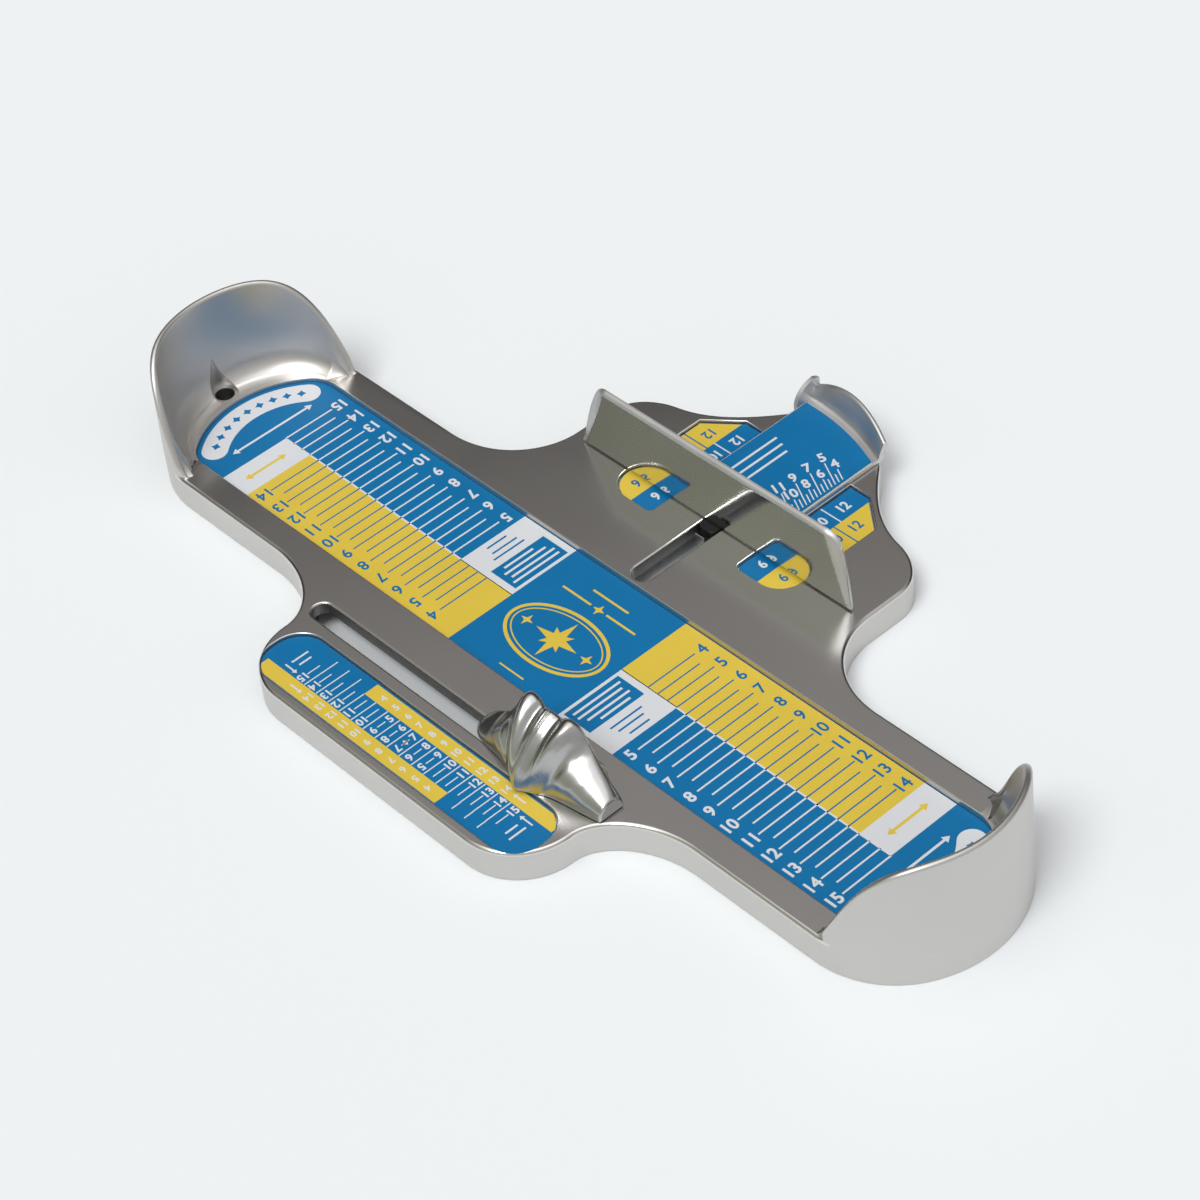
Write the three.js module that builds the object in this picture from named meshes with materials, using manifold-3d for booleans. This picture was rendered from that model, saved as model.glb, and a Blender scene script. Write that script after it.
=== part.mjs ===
// Foot measuring device: a cast base with two heel cups, a width bar that slides across it
// and an arch pointer that slides along it. Millimetres, +Z up, the table at z = 0.
// +X runs along the device to the near heel, +Y towards the width bar.
import * as THREE from 'three';
import { mergeVertices } from 'three/addons/utils/BufferGeometryUtils.js';
import Module from 'manifold-3d';

const wasm = await Module();
wasm.setup();

// Driving dimensions

// Base casting
const heelToHeel = 349.8;          // between the inner heel walls, set by the size scale
const baseHeight = 11.4;           // table to the top of the side bands
const skirtWall = 4.0;
const webThickness = 4.5;          // top web of the wings
const bandWeb = 4.0;               // web under the foot plate
const edgeRound = 1.2;             // rounded top edge all round
const waistHalfWidth = 38.0;
const ribThickness = 3.0;
const ribFootGap = 1.5;            // ribs stop short of the table
const ribPlaces = [98, 132];       // from the middle, to each side
const deepCut = 1.0;               // how far a cutting solid runs past what it cuts

// Heel cups
const cupHeight = 47.0;            // table to the highest rim
const cupRimThickness = 2.4;
const cupWallFoot = 4.2;           // wall thickness at the floor
const cupDraft = 0.8;              // how far the outer wall leans in by the rim
const cupCornerInset = 4.0;        // the corner radius falls short of the half width by this
const cupEndFlatness = 8.0;        // the end's radius is larger than the corner's by this
const cupFloorDrop = 0.8;          // heel floor below the side bands
const cupFillet = 8.0;
const cupRimRun = 57.0;            // from the middle of the rim to its low end, round the wall
const cupFloorShort = 3.0;         // the lower floor ends this far before the rim does
const cupFilletShare = 0.55;       // of the wall's rise, where the rim runs down
const cupLeastRise = 0.05;
const hangHoleRadius = 3.3;
const hangHoleToWall = 4.0;        // centre of the hang hole to the heel wall

// Foot length plate
const plateThickness = 0.8;
const adhesiveThickness = 0.2;
const plateGap = 0.3;              // plate edge to the side of its recess
const footPlateDrop = 2.0;         // plate top below the side bands
const footPlateHalfWidth = 27.7;
const heelFloorLength = 9.9;       // bare floor between the plate and the heel wall
const footPlateEndRadius = 36.0;
const footPlateCornerRadius = 12.0;

// Arch wing and its plate
const smallPlateDrop = 1.0;        // arch and width plates below the surface round them
const archWingHalfLength = 66.3;
const archWingCorner = 22.0;
const archWingBlend = 30.7;        // run of the S curve from the waist to the wing
const archBlendRise = 10.34;       // handles of that curve
const archBlendHandle = 13.8;
const archPlateLength = 124.2;
const archPlateWidth = 22.1;
const archPlateEndFlat = 2.1;      // straight stretch of each end, between its rounded corners
const archPlateMargin = 3.75;      // plate to the wing's outer edge
const archLand = 4.6;              // between the plate and the arch slot
const archSlotWidth = 7.4;
const archSlotEndGap = 2.9;        // past the spring at the end of the travel
const archBand = 4.9;              // between the arch slot and the waist's edge line

// Width wing and its plates
const widthWingHalfLength = 66.3;
const widthBlendHandle = 11.7;
const widthWingSideStart = 28.0;   // waist line to the straight side
const widthWingSideLength = 14.0;
const shoulderRun = 16.3;
const shoulderRise = 16.8;
const shoulderHandles = [8.4, 7.0, 2.0];
const neckHandles = [12.7, 2.9, 8.0, 10.0];
const tongueHalfWidth = 20.5;      // where the tongue's side meets its rounded end
const tongueLength = 22.2;         // shoulder top to the start of the rounded end
const tongueCapLength = 5.5;
const tongueCapHalfWidth = 10.0;
const tongueCapHandles = [2.0, 2.0, 4.0];
const widthPlateInnerY = 54.6;     // from the middle of the foot plate
const widthPlateLength = 51.4;
const widthPlateWidth = 20.0;
const widthPlateChamferX = 11.9;
const widthPlateChamferY = 9.6;
const windowRadius = 9.0;
const windowSmallRadius = 2.0;
const widthSlotWidth = 7.6;
const widthSlotInnerGap = 1.1;     // past the spring at the innermost place
const widthSlotOuterGap = 2.0;     // past the guide block at the outermost place

// Width bar
const slideGap = 0.2;              // slide plate above the base
const slideHalfWidth = 19.0;
const slideThickness = 1.3;
const slideSheetInset = 0.4;
const slideSheetThickness = 0.5;
const slideToWidthPlate = 0.3;     // slide edge to the recess beside it
const sheetToFence = 0.6;
const fenceFaceY = 63.7;
const fenceGap = 0.6;
const fenceThickness = 1.9;
const fenceHeight = 26.4;
const fenceEdgeThickness = 0.9;    // at the top and at the turned-back ends
const fenceLean = 1.8;             // top behind the foot of the face
const fenceHalfLength = 60.8;
const fenceTopHalfLength = 55.4;
const fenceTopCorner = 5.0;
const fenceFlareLength = 6.0;      // ends turned back, away from the foot
const fenceFlareBack = 1.6;
const slideLength = 62.4;          // fence face to the grip, on the middle line
const gripSlant = -0.2;            // the grip runs across the slide at a slant
const gripBow = -0.0061;
const gripFoot = 1.6;              // run of the fillet from the slide up to the grip
const gripFootRise = 1.2;
const gripEdgeRound = 0.6;
const gripHeelRound = 0.8;
const gripWall = 1.9;
const gripLean = 1.8;
const gripHeight = 10.2;           // above the slide's top
const gripEndDrop = 5.0;
const gripHornHeight = 7.6;
const gripHornLength = 9.0;
const gripHornThickness = 1.5;
const gripHornShoulder = 1.0;      // its back edge starts lower by this
const hornToSheet = 0.3;
const sheetToGrip = 3.2;
const widthInward = 27.0;          // travel towards the foot
const widthOutward = 24.0;         // travel away from it

// Guides under both sliders
const guideClearance = 0.3;        // block to the sides of its slot
const guideBlockLength = 28.0;
const guideBlockFrontY = 60.0;
const guideCornerRadius = 2.0;
const bossRadius = 2.6;
const bossClearance = 0.2;
const bossSpacing = 18.0;
const bossRoot = 0.5;              // how far a boss runs into its casting
const blockBelowWeb = 0.9;
const blockTopGap = 0.05;           // block to the slide's underside
const springThickness = 0.4;
const springWidth = 15.0;
const springTabWidth = 4.0;        // tongue of the spring, turned up in the slot
const springTabReach = 2.4;
const springTabHeight = 3.4;
const springToWeb = 0.12;
const retainerThickness = 1.8;
const retainerWidth = 18.0;
const retainerCorner = 2.0;
const retainerMargin = 0.8;        // ends of the retainer behind the guide block's ends
const washerThickness = 0.5;
const washerRadius = 3.2;
const screwRadius = 1.5;
const screwClearance = 0.15;
const screwHeadRadius = 2.7;
const screwHeadHeight = 1.5;
const screwHeadRound = 0.7;
const driveHalfLength = 1.6;
const driveHalfWidth = 0.3;
const driveDepth = 0.8;
const screwGrip = 3.6;             // thread length inside the boss
const screwEndGap = 0.4;

// Arch pointer: curves over the distance from its middle, to the near end or the far end,
// as heights above its foot and as distances from the slot's middle line
const pointerX = 40.4;             // where it stands in the photograph
const pointerGap = 0.3;
const pointerLip = 0.8;
const pointerNearEnd = {
  reach: 28.9,
  top: [
    [0, 21.8], [1.9, 20.9], [4.2, 18.6], [8.5, 22.0], [11.5, 18.8], [15, 14.6], [18, 12.3],
    [21.2, 10.2], [24.9, 7.9], [28.9, 6.4],
  ],
  front: [[0, 11], [2, 10], [4.6, 8.7], [8.8, 6.5], [14.9, 5.1], [21, 4.2], [28.9, 2.9]],
  crest: [[0, 6.2], [8.5, 8], [15, 8], [21, 6.6], [25, 4.6], [28.9, 1.6]],
  back: [[0, 13.6], [10, 13.6], [14.2, 13.1], [19, 10.1], [23.6, 8.6], [28.9, 5.7]],
};
const pointerFarEnd = {
  reach: 27.6,
  top: [
    [0, 21.8], [1.9, 20.9], [4.2, 18.6], [8.5, 21.6], [12, 18.4], [15.5, 12.6], [18.6, 7.4],
    [21, 5.6], [24, 4.7], [26, 3.7], [27.6, 2.2],
  ],
  front: [[0, 11], [2, 10], [4.6, 8.7], [8.8, 6.5], [14.9, 5.1], [21, 4.2], [25, 3.2], [27.6, 1]],
  crest: [[0, 6.2], [8.5, 8], [15, 8], [21, 6.2], [25, 4], [27.6, 1.8]],
  back: [[0, 13.6], [10, 13.6], [14.2, 12.9], [19, 10.2], [23.6, 8.2], [27.6, 4.4]],
};
const pointerNosePower = 1.42;     // oval power of the nose's section, 2 being round
const pointerPocket = {            // the hollow towards the foot, as shares of its rise and run
  reach: 20,
  blend: 4,
  curve: [[0.92, 0.2], [0.75, 0.1], [0.5, 0.12], [0.3, 0.28], [0.14, 0.55]],
};
const pointerTravel = 46.5;        // to each side of the device's middle

// Round stretches
const arcSteps = 6;
const holeSteps = 20;
const smallHoleSteps = 16;
const rimSteps = 34;
const fenceSteps = 20;
const gripSteps = 16;
const noseSteps = 6;

// Places worked out from the sizes above
const baseTop = baseHeight;
const reach = heelToHeel / 2 + cupWallFoot;
const cupCornerRadius = waistHalfWidth - cupCornerInset;
const cupEndRadius = cupCornerRadius + cupEndFlatness;
const archPlateCorner = (archPlateWidth - archPlateEndFlat) / 2;
const archWingY = -(waistHalfWidth + archBand + archSlotWidth + archLand
  + archPlateWidth + archPlateMargin);
const archPlateY = archWingY + archPlateMargin + archPlateWidth / 2;
const archSlotY = archPlateY + archPlateWidth / 2 + archLand + archSlotWidth / 2;
const archSlotHalfLength = pointerTravel + guideBlockLength / 2 + springTabReach + archSlotEndGap;
const widthSlotInnerY = guideBlockFrontY - widthInward - springTabReach - widthSlotInnerGap;
const widthSlotOuterY = guideBlockFrontY + guideBlockLength + widthOutward + widthSlotOuterGap;
const footPlateReach = heelToHeel / 2 - heelFloorLength;
const footPlateTop = baseTop - footPlateDrop;
const footFloor = footPlateTop - plateThickness - adhesiveThickness;
const smallPlateTop = baseTop - smallPlateDrop;
const smallFloor = smallPlateTop - plateThickness - adhesiveThickness;
const wingUnderside = baseTop - webThickness;
const bandUnderside = footFloor - bandWeb;
const widthPlateInnerX = slideHalfWidth + slideToWidthPlate + plateGap;
const slideBottom = baseTop + slideGap;
const slideTop = slideBottom + slideThickness;
const fenceBottom = baseTop + fenceGap;
const fenceTop = fenceBottom + fenceHeight;
const pointerBottom = baseTop + pointerGap;
const blockBottom = wingUnderside - blockBelowWeb;
const retainerTop = blockBottom - springThickness;
const retainerBottom = retainerTop - retainerThickness;
const washerBottom = retainerBottom - washerThickness;
const screwHoleTop = retainerTop + springThickness + screwGrip + screwEndGap;
const guideMiddleY = guideBlockFrontY + guideBlockLength / 2;
const shoulderTopY = waistHalfWidth + widthWingSideStart + widthWingSideLength + shoulderRise;
const tongueEndY = shoulderTopY + tongueLength + tongueCapLength;

// Solids and meshes

function toManifold(geometry) {
  const bare = geometry.clone();
  for (const name of Object.keys(bare.attributes)) {
    if (name !== 'position') bare.deleteAttribute(name);
  }
  const merged = mergeVertices(bare, 1e-4);
  return new wasm.Manifold(new wasm.Mesh({
    numProp: 3,
    vertProperties: new Float32Array(merged.attributes.position.array),
    triVerts: new Uint32Array(merged.index.array),
  }));
}

function toGeometry(manifold) {
  const mesh = manifold.getMesh();
  const geometry = new THREE.BufferGeometry();
  geometry.setAttribute('position', new THREE.BufferAttribute(mesh.vertProperties, 3));
  geometry.setIndex(new THREE.BufferAttribute(mesh.triVerts, 1));
  return geometry;
}

function joined(first, ...others) {
  return others.reduce((body, other) => body.add(other), first);
}

function cut(body, ...tools) {
  return tools.reduce((rest, tool) => rest.subtract(tool), body);
}

// A closed body through rings of points that all have the same count, with flat end caps.
// The flat function gives the two coordinates in which the end rings are cut into triangles.
function closedLoft(rings, flat) {
  const count = rings[0].length;
  const points = rings.flat();
  const faces = [];
  for (let level = 0; level + 1 < rings.length; level += 1) {
    for (let k = 0; k < count; k += 1) {
      const a = level * count + k;
      const b = level * count + (k + 1) % count;
      faces.push([a, b, b + count], [a, b + count, a + count]);
    }
  }
  const addCap = (start, atFirstRing) => {
    const outline = points.slice(start, start + count).map(flat);
    const triangles = THREE.ShapeUtils.triangulateShape(outline, []);
    const area = triangles.reduce((sum, triangle) => sum
      + THREE.ShapeUtils.area(triangle.map((k) => outline[k])), 0);
    const runsAlongRing = area * THREE.ShapeUtils.area(outline) > 0;
    for (const [a, b, c] of triangles) {
      const turned = runsAlongRing === atFirstRing;
      faces.push([start + a, start + (turned ? c : b), start + (turned ? b : c)]);
    }
  };
  addCap(0, true);
  addCap((rings.length - 1) * count, false);
  const volume = faces.reduce((sum, [a, b, c]) => sum
    + points[a].dot(points[b].clone().cross(points[c])), 0);
  const outward = volume > 0 ? faces : faces.map(([a, b, c]) => [a, c, b]);
  const geometry = new THREE.BufferGeometry().setFromPoints(points);
  geometry.setIndex(outward.flat());
  return geometry;
}

function withoutRepeats(points) {
  const kept = points.filter((point, k) => k === 0 || point.distanceTo(points[k - 1]) > 1e-3);
  if (kept[0].distanceTo(kept[kept.length - 1]) < 1e-3) kept.pop();
  return THREE.ShapeUtils.isClockWise(kept) ? kept.reverse() : kept;
}

// The outline moved inward by a distance, for smooth outlines
function inset(points, distance) {
  const count = points.length;
  return points.map((point, k) => {
    const before = points[(k + count - 1) % count];
    const after = points[(k + 1) % count];
    const a = point.clone().sub(before).normalize();
    const b = after.clone().sub(point).normalize();
    const normal = new THREE.Vector2(-(a.y + b.y), a.x + b.x).normalize();
    const spread = Math.max(Math.sqrt((1 + a.dot(b)) / 2), 0.5);
    return point.clone().addScaledVector(normal, distance / spread);
  });
}

// Outline levels from the bottom up, each with an inward distance and a height
function stacked(points, levels) {
  const rings = levels.map(([distance, z]) => inset(points, distance)
    .map((point) => new THREE.Vector3(point.x, point.y, z)));
  return toManifold(closedLoft(rings, (point) => new THREE.Vector2(point.x, point.y)));
}

function slab(points, bottom, top) {
  return stacked(points, [[0, bottom], [0, top]]);
}

function rectangle(x0, x1, y0, y1) {
  return [[x0, y0], [x1, y0], [x1, y1], [x0, y1]].map(([x, y]) => new THREE.Vector2(x, y));
}

function block(x0, x1, y0, y1, z0, z1) {
  return slab(rectangle(x0, x1, y0, y1), z0, z1);
}

function circle(x, y, radius, steps = holeSteps) {
  return Array.from({ length: steps }, (unused, k) => {
    const angle = (k / steps) * 2 * Math.PI;
    return new THREE.Vector2(x + radius * Math.cos(angle), y + radius * Math.sin(angle));
  });
}

function rod(x, y, radius, bottom, top, steps = holeSteps) {
  return slab(circle(x, y, radius, steps), bottom, top);
}

// Points of a half round over an edge, from one side to the other
function roundOver(from, to, top, depth) {
  const steps = 4;
  return Array.from({ length: steps + 1 }, (unused, k) => {
    const angle = (k / steps) * Math.PI;
    return [(from + to) / 2 - ((to - from) / 2) * Math.cos(angle),
      top - depth + depth * Math.sin(angle)];
  });
}

// Rectangle with a radius of its own at each corner, from lower left round to upper left
function roundedRectangle(x0, x1, y0, y1, radii) {
  const path = new THREE.Path();
  const [lowerLeft, lowerRight, upperRight, upperLeft] = radii;
  const quarter = Math.PI / 2;
  path.moveTo(x0 + lowerLeft, y0);
  path.lineTo(x1 - lowerRight, y0);
  path.absarc(x1 - lowerRight, y0 + lowerRight, lowerRight, -quarter, 0, false);
  path.lineTo(x1, y1 - upperRight);
  path.absarc(x1 - upperRight, y1 - upperRight, upperRight, 0, quarter, false);
  path.lineTo(x0 + upperLeft, y1);
  path.absarc(x0 + upperLeft, y1 - upperLeft, upperLeft, quarter, 2 * quarter, false);
  path.lineTo(x0, y0 + lowerLeft);
  path.absarc(x0 + lowerLeft, y0 + lowerLeft, lowerLeft, 2 * quarter, 3 * quarter, false);
  return withoutRepeats(path.getPoints(arcSteps));
}

function slotOutline(x0, x1, y0, y1) {
  const radius = Math.min(x1 - x0, y1 - y0) / 2 - 1e-3;
  return roundedRectangle(x0, x1, y0, y1, [radius, radius, radius, radius]);
}

function smoothStep(from, to, value) {
  const t = Math.min(Math.max((value - from) / (to - from), 0), 1);
  return t * t * (3 - 2 * t);
}

// Value on a smooth curve through [place, value] pairs
function alongCurve(pairs, place) {
  const last = pairs.length - 1;
  if (place <= pairs[0][0]) return pairs[0][1];
  if (place >= pairs[last][0]) return pairs[last][1];
  const k = pairs.findIndex((pair) => pair[0] > place) - 1;
  const t = (place - pairs[k][0]) / (pairs[k + 1][0] - pairs[k][0]);
  const slope = (j) => {
    const a = pairs[Math.max(j - 1, 0)];
    const b = pairs[Math.min(j + 1, last)];
    return (b[1] - a[1]) / (b[0] - a[0]);
  };
  const run = pairs[k + 1][0] - pairs[k][0];
  const t2 = t * t;
  const t3 = t2 * t;
  return (2 * t3 - 3 * t2 + 1) * pairs[k][1] + (t3 - 2 * t2 + t) * run * slope(k)
    + (-2 * t3 + 3 * t2) * pairs[k + 1][1] + (t3 - t2) * run * slope(k + 1);
}

// Outlines in plan

// A long shape whose end is a flat arc joined to its sides by tighter corner arcs
function endArcs(halfWidth, cornerRadius, endRadius, endReach) {
  const endCentre = endReach - endRadius;
  const cornerY = halfWidth - cornerRadius;
  const cornerX = endCentre + Math.sqrt((endRadius - cornerRadius) ** 2 - cornerY ** 2);
  const meeting = Math.atan2(cornerY, cornerX - endCentre);
  return { endCentre, cornerX, cornerY, meeting };
}

// Adds the end at +X to a path that comes along the lower side
function addNearEnd(path, halfWidth, cornerRadius, endRadius, endReach) {
  const arcs = endArcs(halfWidth, cornerRadius, endRadius, endReach);
  path.lineTo(arcs.cornerX, -halfWidth);
  path.absarc(arcs.cornerX, -arcs.cornerY, cornerRadius, -Math.PI / 2, -arcs.meeting, false);
  path.absarc(arcs.endCentre, 0, endRadius, -arcs.meeting, arcs.meeting, false);
  path.absarc(arcs.cornerX, arcs.cornerY, cornerRadius, arcs.meeting, Math.PI / 2, false);
}

function footOutline(extra) {
  const path = new THREE.Path();
  const width = footPlateHalfWidth + extra;
  path.moveTo(0, -width);
  addNearEnd(path, width, footPlateCornerRadius + extra, footPlateEndRadius + extra,
    footPlateReach + extra);
  path.lineTo(0, width);
  const half = path.getPoints(arcSteps);
  const other = half.map((point) => new THREE.Vector2(-point.x, -point.y));
  return withoutRepeats([...half, ...other]);
}

// The half of the base outline at +X, from the arch wing round the heel to the tongue
function baseOutline() {
  const path = new THREE.Path();
  const wing = archWingHalfLength;
  const side = widthWingHalfLength;
  const sideStartY = waistHalfWidth + widthWingSideStart;
  const sideEndY = sideStartY + widthWingSideLength;
  path.moveTo(0, archWingY);
  path.lineTo(wing - archWingCorner, archWingY);
  path.absarc(wing - archWingCorner, archWingY + archWingCorner, archWingCorner,
    -Math.PI / 2, 0, false);
  path.bezierCurveTo(wing, archWingY + archWingCorner + archBlendRise, wing + archBlendHandle,
    -waistHalfWidth, wing + archWingBlend, -waistHalfWidth);
  addNearEnd(path, waistHalfWidth, cupCornerRadius, cupEndRadius, reach);
  path.lineTo(side + archWingBlend, waistHalfWidth);
  path.bezierCurveTo(side + widthBlendHandle, waistHalfWidth, side,
    waistHalfWidth + widthWingSideStart / 2, side, sideStartY);
  path.lineTo(side, sideEndY);
  const [shoulderFoot, shoulderSide, shoulderDip] = shoulderHandles;
  path.bezierCurveTo(side, sideEndY + shoulderFoot, side - shoulderSide,
    shoulderTopY - shoulderDip, side - shoulderRun, shoulderTopY);
  const [neckRun, neckRise, neckFlare, neckDrop] = neckHandles;
  const neckY = shoulderTopY + tongueLength;
  path.bezierCurveTo(side - shoulderRun - neckRun, shoulderTopY + neckRise,
    tongueHalfWidth + neckFlare, neckY - neckDrop, tongueHalfWidth, neckY);
  const [capSide, capDip, capTop] = tongueCapHandles;
  path.bezierCurveTo((tongueHalfWidth + tongueCapHalfWidth) / 2 + capSide, tongueEndY - capDip,
    tongueCapHalfWidth + capTop, tongueEndY, tongueCapHalfWidth, tongueEndY);
  path.lineTo(0, tongueEndY);
  const right = path.getPoints(arcSteps);
  const left = right.map((point) => new THREE.Vector2(-point.x, point.y)).reverse();
  return withoutRepeats([...right, ...left]);
}

function widthPlateOutline(side, extra) {
  const inner = widthPlateInnerX - extra;
  const outer = widthPlateInnerX + widthPlateWidth + extra;
  const low = widthPlateInnerY - extra;
  const high = widthPlateInnerY + widthPlateLength + extra;
  const path = new THREE.Path();
  path.moveTo(inner + windowSmallRadius, low);
  path.lineTo(outer - windowRadius, low);
  path.absarc(outer - windowRadius, low + windowRadius, windowRadius, -Math.PI / 2, 0, false);
  path.lineTo(outer, high - widthPlateChamferY);
  path.lineTo(outer - widthPlateChamferX, high);
  path.lineTo(inner, high);
  path.lineTo(inner, low + windowSmallRadius);
  path.absarc(inner + windowSmallRadius, low + windowSmallRadius, windowSmallRadius,
    Math.PI, 1.5 * Math.PI, false);
  const points = path.getPoints(arcSteps)
    .map((point) => new THREE.Vector2(side * point.x, point.y));
  return withoutRepeats(points);
}

function archPlateOutline(extra) {
  const halfLength = archPlateLength / 2 + extra;
  const halfWidth = archPlateWidth / 2 + extra;
  const radius = archPlateCorner + extra;
  return roundedRectangle(-halfLength, halfLength, archPlateY - halfWidth,
    archPlateY + halfWidth, [radius, radius, radius, radius]);
}

// Base casting

// Point and outward normal on the heel end of the base, by the run from its middle
function heelWall(run) {
  const arcs = endArcs(waistHalfWidth, cupCornerRadius, cupEndRadius, reach);
  const sign = Math.sign(run) || 1;
  const length = Math.abs(run);
  const endRun = arcs.meeting * cupEndRadius;
  const cornerRun = (Math.PI / 2 - arcs.meeting) * cupCornerRadius;
  if (length <= endRun) {
    const angle = length / cupEndRadius;
    const normal = new THREE.Vector2(Math.cos(angle), sign * Math.sin(angle));
    return { normal, point: normal.clone().multiplyScalar(cupEndRadius)
      .add(new THREE.Vector2(arcs.endCentre, 0)) };
  }
  if (length <= endRun + cornerRun) {
    const angle = arcs.meeting + (length - endRun) / cupCornerRadius;
    const normal = new THREE.Vector2(Math.cos(angle), sign * Math.sin(angle));
    return { normal, point: normal.clone().multiplyScalar(cupCornerRadius)
      .add(new THREE.Vector2(arcs.cornerX, sign * arcs.cornerY)) };
  }
  return {
    normal: new THREE.Vector2(0, sign),
    point: new THREE.Vector2(arcs.cornerX - (length - endRun - cornerRun),
      sign * waistHalfWidth),
  };
}

function rimHeight(run) {
  const share = Math.min(Math.abs(run) / cupRimRun, 1);
  return baseTop + (cupHeight - baseTop) * (1 - share ** 5) ** 1.6;
}

// Section of the cup wall: inward distance and height, from the outer foot over the rim to the floor
function cupSection(rim) {
  const floor = baseTop - cupFloorDrop;
  const rise = Math.max(rim - baseTop, cupLeastRise);
  const outer = cupDraft * (rise / (cupHeight - baseTop));
  const innerTop = outer + Math.min(cupRimThickness, cupWallFoot - outer);
  const round = Math.min(cupRimThickness / 2, rise / 2);
  const fillet = Math.min(cupFillet, rise * cupFilletShare + cupFloorDrop);
  const section = [[0, wingUnderside], [0, baseTop], ...roundOver(outer, innerTop, rim, round)];
  const filletSteps = 4;
  for (let k = 0; k <= filletSteps; k += 1) {
    const angle = (k / filletSteps) * (Math.PI / 2);
    section.push([cupWallFoot + fillet * (1 - Math.cos(angle)),
      floor + fillet * (1 - Math.sin(angle))]);
  }
  section.push([cupWallFoot + fillet, wingUnderside]);
  return section;
}

function cupWall() {
  const rings = [];
  for (let k = 0; k <= rimSteps; k += 1) {
    const run = cupRimRun * (2 * (k / rimSteps) - 1);
    const { point, normal } = heelWall(run);
    rings.push(cupSection(rimHeight(run)).map(([inward, z]) => new THREE.Vector3(
      point.x - normal.x * inward, point.y - normal.y * inward, z)));
  }
  return toManifold(closedLoft(rings, (point) => new THREE.Vector2(point.y, point.z)));
}

// The lower floor inside a cup, from the ends of its rim to the heel wall
function cupFloorCut() {
  const points = [];
  const run = cupRimRun - cupFloorShort;
  for (let k = 0; k <= rimSteps; k += 1) {
    const { point, normal } = heelWall(run * (2 * (k / rimSteps) - 1));
    points.push(point.clone().addScaledVector(normal, -cupWallFoot - cupLeastRise));
  }
  return slab(withoutRepeats(points), baseTop - cupFloorDrop, cupHeight);
}

function turnedHalf(body) {
  return body.rotate([0, 0, 180]);
}

function ribs() {
  const inner = waistHalfWidth - skirtWall / 2;
  return ribPlaces.flatMap((place) => [place, -place]).map((x) => block(
    x - ribThickness / 2, x + ribThickness / 2, -inner, inner, ribFootGap, wingUnderside));
}

function baseCasting() {
  const outline = baseOutline();
  const bevel = edgeRound * (1 - Math.SQRT1_2);
  const plan = stacked(outline, [[0, 0], [0, baseTop - edgeRound],
    [bevel, baseTop - bevel], [edgeRound, baseTop]]);
  const bandHalf = footPlateHalfWidth + plateGap + bandWeb;
  const hollow = slab(inset(outline, skirtWall), -deepCut, wingUnderside);
  const bandEnd = reach - skirtWall / 2;
  const footBand = block(-bandEnd, bandEnd, -bandHalf, bandHalf, bandUnderside, baseTop);
  const underside = hollow.subtract(footBand);
  let body = joined(cut(plan, underside), ...ribs());
  body = cut(body, cupFloorCut(), turnedHalf(cupFloorCut()));
  body = joined(body, cupWall(), turnedHalf(cupWall()));
  const archSlot = slotOutline(-archSlotHalfLength, archSlotHalfLength,
    archSlotY - archSlotWidth / 2, archSlotY + archSlotWidth / 2);
  const widthSlot = slotOutline(-widthSlotWidth / 2, widthSlotWidth / 2,
    widthSlotInnerY, widthSlotOuterY);
  return cut(body,
    slab(footOutline(plateGap), footFloor, baseTop + deepCut),
    slab(archPlateOutline(plateGap), smallFloor, baseTop + deepCut),
    slab(widthPlateOutline(1, plateGap), smallFloor, baseTop + deepCut),
    slab(widthPlateOutline(-1, plateGap), smallFloor, baseTop + deepCut),
    slab(archSlot, 0, baseTop + deepCut),
    slab(widthSlot, 0, baseTop + deepCut),
    rod(-(heelToHeel / 2 - hangHoleToWall), 0, hangHoleRadius, 0, baseTop + cupFillet));
}

// Width bar casting, at the photograph's place

// Upright wall, straight in plan, with its ends turned back and a little thinner, its top
// leaning back and its top corners round. A place on it is a share of its length and its rise.
function fence() {
  const levels = [0, 0.25, 0.5, 0.75, 0.95, 1];
  const point = (share, rise, side) => {
    const half = THREE.MathUtils.lerp(fenceHalfLength, fenceTopHalfLength, rise);
    const toEnd = (1 - Math.abs(share)) * half;
    const corner = Math.max(1 - toEnd / fenceTopCorner, 0);
    const drop = fenceTopCorner * (1 - Math.sqrt(1 - corner ** 2)) * rise ** 3;
    const flare = Math.max(1 - toEnd / fenceFlareLength, 0) ** 2;
    const middle = fenceFaceY + fenceLean * rise ** 1.5 + fenceFlareBack * flare
      + fenceThickness / 2;
    const wall = rise === 1 ? fenceEdgeThickness
      : THREE.MathUtils.lerp(fenceThickness, fenceEdgeThickness, flare);
    return new THREE.Vector3(share * half, middle + side * (wall / 2),
      fenceBottom + rise * fenceHeight - drop);
  };
  const rings = [];
  for (let k = 0; k <= fenceSteps; k += 1) {
    const share = Math.sin((k / fenceSteps - 0.5) * Math.PI);
    rings.push([...levels.map((rise) => point(share, rise, -1)),
      ...levels.map((rise) => point(share, rise, 1)).reverse()]);
  }
  return toManifold(closedLoft(rings, (p) => new THREE.Vector2(p.y, p.z)));
}

function gripY(x) {
  return fenceFaceY + slideLength + gripSlant * x + gripBow * x * x;
}

// Points along the edge of the grip's end of the slide, from +X to -X
function gripEdge(halfWidth, offset) {
  return Array.from({ length: gripSteps + 1 }, (unused, k) => {
    const x = halfWidth * (1 - (2 * k) / gripSteps);
    return new THREE.Vector2(x, gripY(x) - offset);
  });
}

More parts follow.
